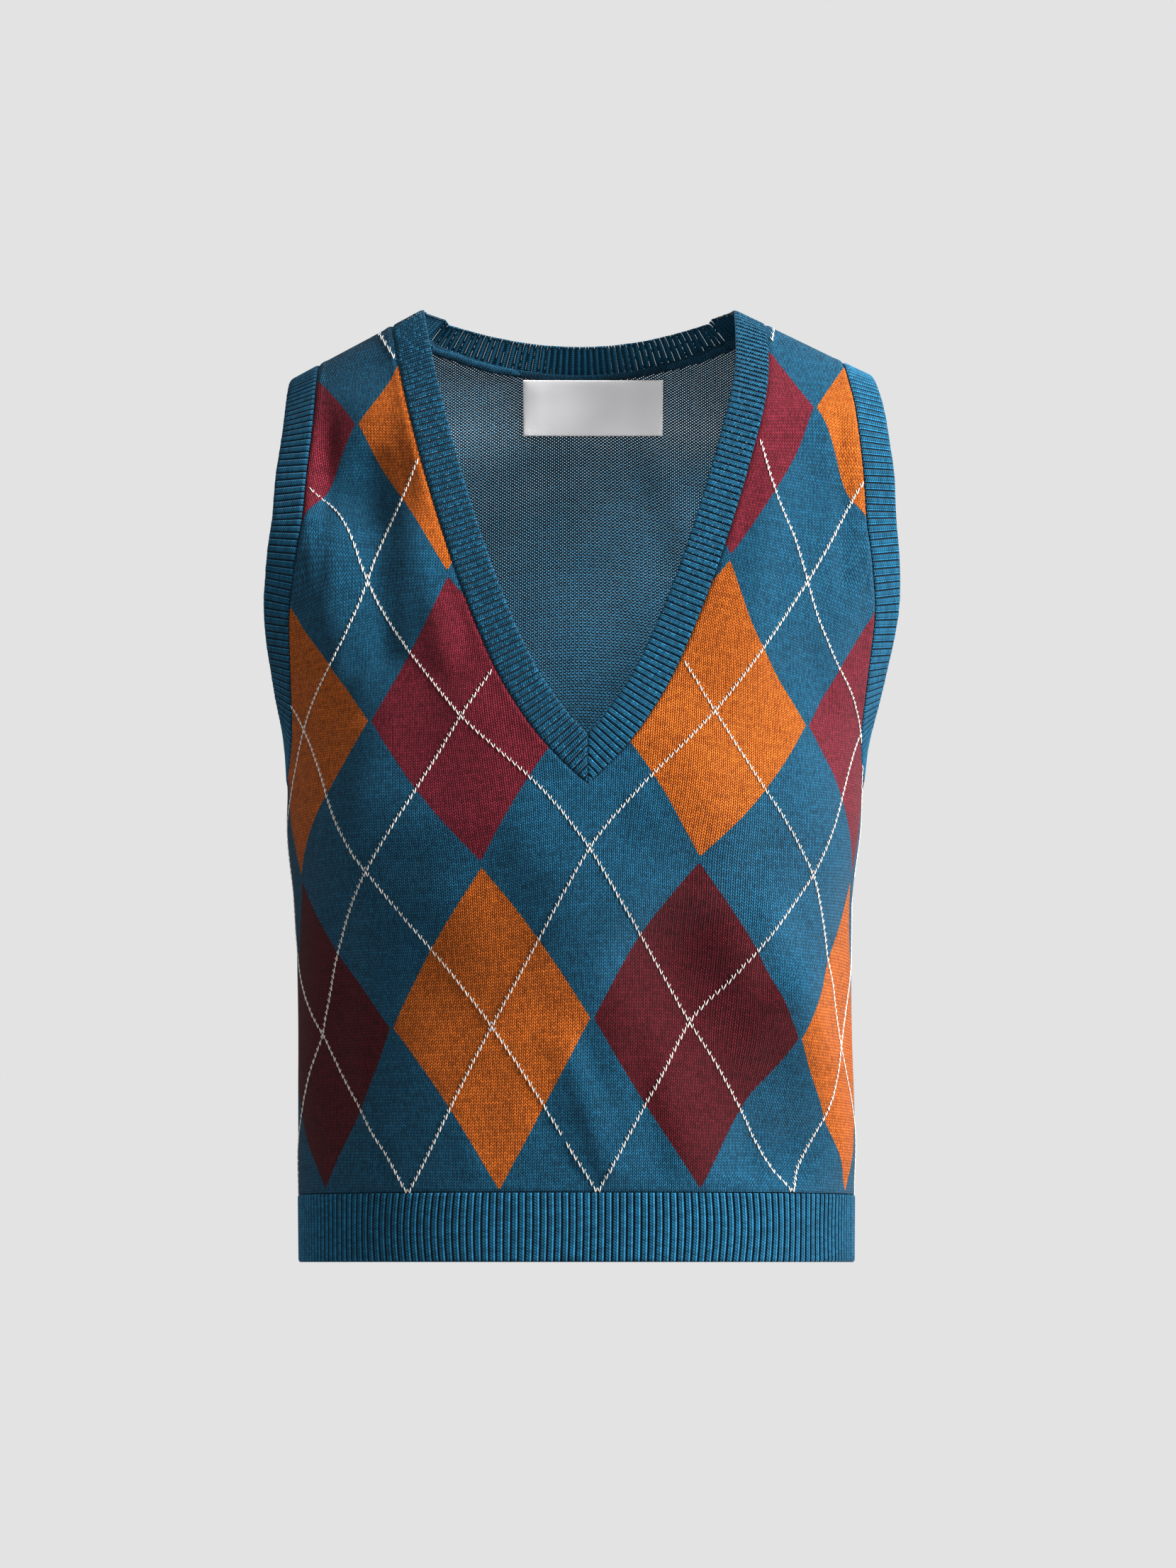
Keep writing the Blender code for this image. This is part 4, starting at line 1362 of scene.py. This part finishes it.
def hem_surface(side, relief, seed):
    """The hem rib's points and stitches, side seam to side seam, its ribs hanging unevenly."""
    top, bottom = hem_ring(side, -BODY_LENGTH - SEAM_GAP), hem_ring(side, -LENGTH)
    ribs = round(top.length / HEM_RIB_PITCH)
    part = np.linspace(0, 1, ribs * HEM_RIB_COLUMNS + 1)
    down = np.array(HEM_ROWS)[:, None]
    phase = part * ribs
    split = groove(phase % 1 - 0.5, depth=0.22, reach=0.09)
    crest = rib_crest(phase, valley=0.24) * (1 + split)
    crest = crest * (1 + HEM_VARIES * rib_numbers(phase, ribs, seed))
    normal = unit(top.at(part * top.length, top.normals))
    sway = (HEM_SWAY * np.sin(part * HEM_SWAYS + seed)
            + HEM_RIPPLE * np.sin(part * HEM_RIPPLES + 2 * seed))
    slant = (HEM_SWING * np.sin(np.pi * (part - 0.5)) - HEM_SLANT) * np.sin(np.pi * part)
    slide = sway[None, :] * np.sin(np.pi * down) + slant * down
    from_end = np.minimum(part, 1 - part)
    slide = slide * (from_end * HEM_END_SHARES).clip(0, 1)[None, :]
    upper = np.stack([top.at(part * top.length + row, top.points) for row in slide])
    lower = np.stack([bottom.at(part * bottom.length + row, bottom.points) for row in slide])
    lift = relief * crest[None, :] * grown(1 - down, 0.5, reach=0.04)
    lift = lift + groove(down * HEM_RIB_HEIGHT, depth=0.35, reach=0.5)
    lift = lift + groove(from_end[None, :] * top.length, **SIDE_GROOVE)
    lift = lift + groove((1 - down) * HEM_RIB_HEIGHT, depth=0.5, reach=0.5)
    spots = upper + (lower - upper) * down[..., None] + normal[None] * lift[..., None]
    return spots, stitch_grid(phase[None, :], -down * HEM_RIB_HEIGHT / HEM_COURSE)


def raker_chart():
    """Wale, pair of courses and hand of each raker stitch, by the chart."""
    for wale in range(-RAKER_COLUMNS * COLUMN_WALES, RAKER_COLUMNS * COLUMN_WALES):
        column = (wale + 0.5) / COLUMN_WALES
        for odd in RAKER_SUMS:
            for hand, row in ((-1, odd - column), (1, odd + column)):
                if row >= RAKER_BOTTOM_ROW:
                    yield wale, math.floor(row * ROW_COURSES / 2 + 0.25), hand


def nearest_spot(stitches, slope, target):
    """The grid's spot nearest to a place in the knitting, and the step from it to the place."""
    last = np.array(stitches.shape[:2]) - 1
    nearest = np.argmin(((stitches.reshape(-1, 2) - target) ** 2).sum(-1))
    at = np.unravel_index(nearest, stitches.shape[:2])
    for _ in range(SEARCH_STEPS):
        step = np.linalg.solve(slope[at], target - stitches[at])
        at = tuple(np.clip(np.add(at, np.round(step)).astype(int), 0, last))
    return at, np.linalg.solve(slope[at], target - stitches[at])


def raker_places(sign, strength):
    """Where the raker stitches lie on one half of the front, clear of its edges."""
    points, facing, stitches = panel_half(FRONT, sign, strength)
    tangents = np.stack(np.gradient(points, axis=(0, 1)), -1)
    slope = np.stack(np.gradient(stitches, axis=(0, 1)), -1)
    inner, outer = run_lengths(points, 1)
    top, _ = run_lengths(points, 0)
    inner = np.where(points[..., 2] > V_POINT, inner, FAR)
    clear = np.minimum(np.minimum(outer, top), inner)
    places = {}
    for wale, pair, hand in raker_chart():
        if (wale, pair) in places:
            places[wale, pair] += (hand,)
            continue
        at, step = nearest_spot(stitches, slope, np.array((wale + 0.5, 2 * pair + 1.0)))
        if np.abs(step).max() > RAKER_REACH or clear[at] < RAKER_CLEAR:
            continue
        one_wale, one_course = (tangents[at] @ np.linalg.inv(slope[at])).T
        places[wale, pair] = (points[at] + tangents[at] @ step, one_wale, one_course,
                              facing[at], hand)
    return places


def add_leg(bm, start, end, facing, thickness):
    """One leg of a stitch, thickest half way along."""
    along = Vector(end - start)
    up = Vector(facing)
    side = up.cross(along).normalized()
    up = along.cross(side).normalized()
    turn = Matrix((side, up, along.normalized())).transposed().to_4x4()
    size = Matrix.Diagonal((thickness / 2, thickness / 2, along.length / 2, 1.0))
    place = Matrix.Translation(Vector((start + end) / 2))
    bmesh.ops.create_uvsphere(bm, u_segments=STITCH_SIDES, v_segments=STITCH_RINGS, radius=1.0,
                              matrix=Matrix.Scale(MM, 4) @ place @ turn @ size)


def build_rakers(context, material):
    """Every raker stitch: a long leg along its line and a short one across it."""
    sizes = context.scene.vest_sizes
    places = {**raker_places(WEARER_LEFT, sizes.fold_strength),
              **raker_places(WEARER_RIGHT, sizes.fold_strength)}
    thickness = sizes.raker_thickness / MM
    chance = np.random.default_rng(RAKER_SEED)
    whole, some = bmesh.new(), bmesh.new()
    for count, (place, wale, course, facing, *hands) in enumerate(places.values(), 1):
        base = place + facing * RAKER_LIFT + wale * chance.uniform(*RAKER_SHIFT)
        low = base - course * chance.uniform(*RAKER_DROP)
        for hand in (-1, 1):
            leg = LONG_LEG if hand in hands else SHORT_LEG
            high = (base + course * leg.rise * chance.uniform(*RAKER_RISE)
                    + wale * hand * leg.spread * chance.uniform(*RAKER_SPREAD))
            start = low + course * leg.start_up + wale * hand * leg.start_out
            add_leg(some, start, high, facing,
                    thickness * leg.thickness * chance.uniform(*RAKER_THICKNESS))
        if count % STITCH_BATCH == 0 or count == len(places):
            some = pour(some, whole)
    return finish_mesh(whole, "raker_stitches", (material,))


def tube_surface(path, facing, half_width, half_height):
    """A closed tube along a path, wider than it is high, its ends drawn together."""
    along = unit(np.gradient(path, axis=0))
    across_path = unit(np.cross(facing, along))
    turn = np.linspace(0, 2 * np.pi, ROLL_SIDES + 1)[:, None, None]
    ends = np.linspace(0, 1, len(path))
    full = np.clip(np.sin(np.pi * ends) * ROLL_END_TAPER, ROLL_END, 1)[None, :, None] ** 0.5
    spots = path[None] + (across_path[None] * np.cos(turn) * half_width
                          + facing[None] * np.sin(turn) * half_height) * full
    steps = np.linalg.norm(np.diff(path, axis=0), axis=1)
    marks = np.concatenate(([0.0], np.cumsum(steps)))
    return spots, stitch_grid(marks[None, :] / TAPE_WALE, turn[..., 0] * ROLL_COURSES)


def neck_roll_surface(low, high):
    """The soft turned edge along the back neck, fuller away from the label."""
    x = np.linspace(low, high, ROLL_STATIONS)
    far = np.abs(x - LABEL_CENTRE) / ROLL_FAR
    z = top_line(BACK, x) + ROLL_RISE + ROLL_END_RISE * far + ripples(x, ROLL_SWAY)
    face = cloth_point(BACK, turn_at(x, z), z)
    facing = -outward(BACK, face)
    path = face + facing * (NECK_ALLOWANCE.depth + ROLL_CLEAR + ROLL_HALF_HEIGHT)
    half_width = ROLL_HALF_WIDTH + ROLL_END_WIDTH * ease(far, 0.8) + ripples(x, ROLL_LUMPS)
    return tube_surface(path, facing, half_width[:, None], ROLL_HALF_HEIGHT)


def label_surface():
    """The label's points: soft between its edges, which turn down to the cloth."""
    columns, rows = np.array(LABEL_COLUMNS), np.array(LABEL_ROWS)[:, None]
    x = LABEL_CENTRE + LABEL_WIDTH * (columns[None, :] - 0.5) + 0 * rows
    z = LABEL_TOP - LABEL_HEIGHT * rows + 0 * x
    face = cloth_point(BACK, turn_at(x, z), z)
    side_edge = np.minimum(columns, 1 - columns)[None, :] * LABEL_WIDTH
    end_edge = np.minimum(rows, 1 - rows) * LABEL_HEIGHT
    soft = LABEL_WAVE * np.sin(x / 11 + z / 17) + bead(rows, place=0.55, width=0.3, height=0.3)
    depth = LABEL_DEPTH - LABEL_DROOP * ease(rows, 0.5)
    depth = depth + soft * ease(side_edge, 8) * ease(end_edge, 6)
    depth = depth + groove(side_edge, depth=0.45, reach=0.8)
    depth = depth + groove(end_edge, depth=0.2, reach=0.5)
    return face - outward(BACK, face) * depth[..., None], np.stack((x, z), -1)


def label_stitches():
    """The running stitch along the label's top edge."""
    bm = bmesh.new()
    chance = np.random.default_rng(LABEL_SEED)
    first = LABEL_CENTRE - LABEL_WIDTH / 2 + LABEL_STITCH_INSET
    last = LABEL_CENTRE + LABEL_WIDTH / 2 - 2 * LABEL_STITCH_INSET
    for place in np.arange(first, last, LABEL_STITCH_PITCH):
        ends = []
        for reach in (0.0, LABEL_STITCH_LENGTH):
            height = np.array(LABEL_TOP - LABEL_STITCH_DROP + chance.uniform(-0.05, 0.05))
            on = cloth_point(BACK, turn_at(np.array(place + reach), height), height)
            ends.append(on - outward(BACK, on) * LABEL_STITCH_DEPTH)
        add_leg(bm, ends[0], ends[1], -outward(BACK, ends[0]), LABEL_STITCH_WIDTH)
    return bm


# Operators ----------------------------------------------------------------------------------

class VEST_OT_front(bpy.types.Operator):
    """Builds the argyle front"""
    bl_idname = "vest.front"
    bl_label = "Front"

    def execute(self, context):
        yarns, sizes = context.scene.vest_yarns, context.scene.vest_sizes
        # The front's inside is the same teal painted darker, as shade
        materials = (argyle_knit(yarns, sizes), purl_knit("front_inside", yarns.teal, sizes, 0.8))
        item = build_panel(context, "front_cloth", FRONT, materials, sizes.front_wall)
        stand_for("front_panel")
        rakers = build_rakers(context, thread("raker_yarn", yarns.raker))
        return {"FINISHED"}


class VEST_OT_back(bpy.types.Operator):
    """Builds the plain back"""
    bl_idname = "vest.back"
    bl_label = "Back"

    def execute(self, context):
        yarns, sizes = context.scene.vest_yarns, context.scene.vest_sizes
        # The back's inside is the same teal painted a little darker, as shade
        materials = (plain_knit("back_knit", yarns.teal, sizes, 1.0, sizes.pinhole),
                     purl_knit("back_inside", yarns.teal, sizes, 0.95, sizes.pinhole))
        item = build_panel(context, "back_cloth", BACK, materials, sizes.back_wall)
        stand_for("back_panel")
        return {"FINISHED"}


class VEST_OT_neckband(bpy.types.Operator):
    """Builds the ribbed neckband, mitred at the V's point"""
    bl_idname = "vest.neckband"
    bl_label = "Neckband"

    def execute(self, context):
        yarns, sizes = context.scene.vest_yarns, context.scene.vest_sizes
        seam = neck_seam()
        ribs = 2 * round(seam.length / NECK_RIB_PITCH / 2)
        middle = float(read(V_NECK, "middle", V_POINT))
        bm = bmesh.new()
        for sign, start in ((WEARER_LEFT, 0), (WEARER_RIGHT, 1)):
            distance = seam.length / 2 * (start + np.linspace(0, 1, ribs // 2 * RIB_COLUMNS + 1))
            spots, stitches = band_surface(seam, distance, ribs, NECKBAND_WIDTH,
                                           sizes.rib_relief / MM, seed=5, middle=middle)
            half = bmesh.new()
            grid_mesh(half, spots[::-1], stitches[::-1])
            faces = [face for face in half.faces if face.calc_center_median().y < 0]
            parts = {part for face in faces for part in (face, *face.edges, *face.verts)}
            mitre = (middle + sign * SEAM_GAP / 2) * MM
            bmesh.ops.bisect_plane(half, geom=list(parts), clear_outer=True,
                                   plane_co=(mitre, 0, 0), plane_no=(-sign, 0, 0))
            pour(half, bm).free()
        materials = (rib_knit("neckband_rib", yarns.teal, sizes, BAND_RIB, holes=0.5),
                     rib_inside("neckband_inside", yarns.teal, sizes, holes=0.5))
        item = finish_mesh(bm, "neckband_knit", materials, sizes.rib_wall)
        stand_for("neckband")
        return {"FINISHED"}


class VEST_OT_armbands(bpy.types.Operator):
    """Builds the two ribbed armbands"""
    bl_idname = "vest.armbands"
    bl_label = "Armbands"

    def execute(self, context):
        yarns, sizes = context.scene.vest_yarns, context.scene.vest_sizes
        materials = (rib_knit("armband_rib", yarns.teal, sizes, BAND_RIB),
                     rib_inside("armband_inside", yarns.teal, sizes))
        for sign, hand in HANDS:
            seam = armhole_seam(sign)
            ribs = round(seam.length / ARM_RIB_PITCH)
            distance = seam.length * np.linspace(0, 1, ribs * RIB_COLUMNS + 1)
            spots, stitches = band_surface(seam, distance, ribs, ARMBAND_WIDTH,
                                           sizes.rib_relief / MM, seed=8 + sign)
            spots[:, -1] = spots[:, 0]
            item = knit_piece(f"armband_{hand}_knit", spots[::-1], stitches[::-1], materials,
                              sizes.rib_wall)
            stand_for(f"armband_{hand}")
        return {"FINISHED"}


class VEST_OT_hem(bpy.types.Operator):
    """Builds the ribbed hem, front and back"""
    bl_idname = "vest.hem"
    bl_label = "Hem rib"

    def execute(self, context):
        yarns, sizes = context.scene.vest_yarns, context.scene.vest_sizes
        materials = (rib_knit("hem_rib", yarns.teal, sizes, HEM_RIB),
                     rib_inside("hem_rib_inside", yarns.teal, sizes))
        for node, side, area in (("hem_rib_front", FRONT, 0.0155), ("hem_rib_back", BACK, 0.0145)):
            spots, stitches = hem_surface(side, sizes.rib_relief / MM, seed=3 + side)
            if side == BACK:
                spots, stitches = spots[:, ::-1], stitches[:, ::-1]
            item = knit_piece(node + "_knit", spots, stitches, materials, sizes.rib_wall)
            stand_for(node)
        return {"FINISHED"}


class VEST_OT_label(bpy.types.Operator):
    """Builds the bare woven label and its stitches"""
    bl_idname = "vest.label"
    bl_label = "Label"

    def execute(self, context):
        yarns = context.scene.vest_yarns
        item = knit_piece("label_satin", *label_surface(), (satin(yarns),), LABEL_THICKNESS * MM)
        stand_for("label")
        seam = finish_mesh(label_stitches(), "label_stitches",
                           (thread("label_thread", yarns.label_thread),))
        return {"FINISHED"}


class VEST_OT_neck_rolls(bpy.types.Operator):
    """Builds the soft turned edge inside the back neck, on both sides of the label"""
    bl_idname = "vest.neck_rolls"
    bl_label = "Neck edge inside"

    def execute(self, context):
        yarns, sizes = context.scene.vest_yarns, context.scene.vest_sizes
        # The turned edge is the same teal painted lighter: painted light
        material = plain_knit("turned_edge", yarns.teal, sizes, 1.15)
        right_end = LABEL_CENTRE - LABEL_WIDTH / 2 - ROLL_GAP
        left_end = LABEL_CENTRE + LABEL_WIDTH / 2 + ROLL_GAP
        for name, low, high in (("neck_roll_right", -ROLL_REACH, right_end),
                                ("neck_roll_left", left_end, ROLL_REACH)):
            spots, stitches = neck_roll_surface(low, high)
            spots[-1] = spots[0]
            bm = bmesh.new()
            grid_mesh(bm, spots, stitches)
            bmesh.ops.remove_doubles(bm, verts=bm.verts, dist=MERGE)
            bmesh.ops.holes_fill(bm, edges=[edge for edge in bm.edges if edge.is_boundary])
            bmesh.ops.recalc_face_normals(bm, faces=bm.faces)
            finish_mesh(bm, name, (material,))
        return {"FINISHED"}


class VEST_OT_seam_allowances(bpy.types.Operator):
    """Builds the narrow seam allowances inside the seams"""
    bl_idname = "vest.seam_allowances"
    bl_label = "Seam allowances"

    def execute(self, context):
        yarns, sizes = context.scene.vest_yarns, context.scene.vest_sizes
        # The allowances are the same teal painted darker, as shade
        material = plain_knit("seam_allowance", yarns.teal, sizes, 0.8)
        seams = {"neck_allowance": (neck_seam(), NECK_ALLOWANCE)}
        for sign, hand in HANDS:
            seams["armhole_allowance_" + hand] = (armhole_seam(sign), ARMHOLE_ALLOWANCE)
            seams["shoulder_allowance_" + hand] = (shoulder_seam(sign), PLAIN_ALLOWANCE)
            seams["side_allowance_" + hand] = (side_seam(sign), PLAIN_ALLOWANCE)
        for side, where in ((FRONT, "front"), (BACK, "back")):
            seams["hem_allowance_" + where] = (hem_ring(side, -BODY_LENGTH), HEM_ALLOWANCE)
        for name, (seam, size) in seams.items():
            end = 0.0 if seam.closed else ALLOWANCE_END
            distance = np.linspace(end, seam.length - end, round(seam.length / ALLOWANCE_STEP))
            spots, stitches = allowance_surface(seam, distance, *size)
            if seam.closed:
                spots[:, -1] = spots[:, 0]
            knit_piece(name, spots[::-1], stitches[::-1], (material,), ALLOWANCE_THICKNESS * MM)
        return {"FINISHED"}


class VEST_OT_studio(bpy.types.Operator):
    """Builds the pale floor, the soft light and the camera"""
    bl_idname = "vest.studio"
    bl_label = "Studio"

    def execute(self, context):
        scene = context.scene
        scene.view_settings.view_transform = "Standard"
        world = bpy.data.worlds.new("studio")
        world.use_nodes = True
        world.node_tree.nodes["Background"].inputs["Color"].default_value = (*STUDIO_GREY, 1.0)
        scene.world = world
        self.build_floor(scene)
        for lamp in LAMPS:
            self.hang_lamp(scene, lamp)
        camera = bpy.data.cameras.new("camera")
        camera.sensor_width = CAMERA_SENSOR
        camera.sensor_fit = "HORIZONTAL"
        camera.lens = CAMERA_SENSOR * -CAMERA_PLACE[1] / CAMERA_VIEW_WIDTH
        eye = bpy.data.objects.new("camera", camera)
        eye.location = CAMERA_PLACE
        eye.rotation_euler = (math.pi / 2, 0, 0)
        scene.collection.objects.link(eye)
        scene.camera = eye
        return {"FINISHED"}

    def build_floor(self, scene):
        bm = bmesh.new()
        bmesh.ops.create_circle(bm, cap_ends=True, segments=FLOOR_SIDES, radius=FLOOR_RADIUS,
                                matrix=Matrix.Translation((0, 0, FLOOR_HEIGHT)))
        mesh = bpy.data.meshes.new("floor")
        bm.to_mesh(mesh)
        bm.free()
        finish = Finish("floor_paint", **FLOOR_PAINT)
        finish.colour(FLOOR_SHADE, 0.99 + 0.02 * finish.cloud(finish.place(), 3.0))
        mesh.materials.append(finish.material)
        floor = bpy.data.objects.new("floor", mesh)
        scene.collection.objects.link(floor)

    def hang_lamp(self, scene, lamp):
        light = bpy.data.lights.new(lamp.name, "AREA")
        light.shape = "DISK"
        light.size = lamp.size
        light.energy = getattr(scene.vest_studio, lamp.power)
        hung = bpy.data.objects.new(lamp.name, light)
        hung.location = lamp.place
        aim = Vector(LIGHT_AIM) - Vector(lamp.place)
        hung.rotation_euler = aim.to_track_quat("-Z", "Y").to_euler()
        scene.collection.objects.link(hung)


class VEST_PT_sidebar(bpy.types.Panel):
    """Lists the vest's pieces in the sidebar"""
    bl_idname = "VEST_PT_sidebar"
    bl_label = "Argyle vest"
    bl_space_type = "VIEW_3D"
    bl_region_type = "UI"
    bl_category = "Vest"

    def draw(self, context):
        layout = self.layout
        for name in GROUPS:
            group = getattr(context.scene, name)
            column = layout.column()
            for key in group.bl_rna.properties.keys():
                if key not in ("rna_type", "name"):
                    column.prop(group, key)
        for operator in OPERATORS:
            layout.operator(operator.bl_idname)


OPERATORS = (VEST_OT_studio, VEST_OT_front, VEST_OT_back, VEST_OT_neckband, VEST_OT_armbands,
             VEST_OT_hem, VEST_OT_seam_allowances, VEST_OT_label, VEST_OT_neck_rolls)
GROUPS = {"vest_yarns": VestYarns, "vest_sizes": VestSizes, "vest_studio": StudioLight}


def register():
    for group in GROUPS.values():
        bpy.utils.register_class(group)
    for name, group in GROUPS.items():
        setattr(bpy.types.Scene, name, bpy.props.PointerProperty(type=group))
    for operator in (*OPERATORS, VEST_PT_sidebar):
        bpy.utils.register_class(operator)


def unregister():
    for operator in (VEST_PT_sidebar, *reversed(OPERATORS)):
        bpy.utils.unregister_class(operator)
    for name in GROUPS:
        delattr(bpy.types.Scene, name)
    for group in reversed(GROUPS.values()):
        bpy.utils.unregister_class(group)


def main():
    register()
    for operator in OPERATORS:
        group, name = operator.bl_idname.split(".")
        getattr(getattr(bpy.ops, group), name)()


if __name__ == "__main__":
    main()
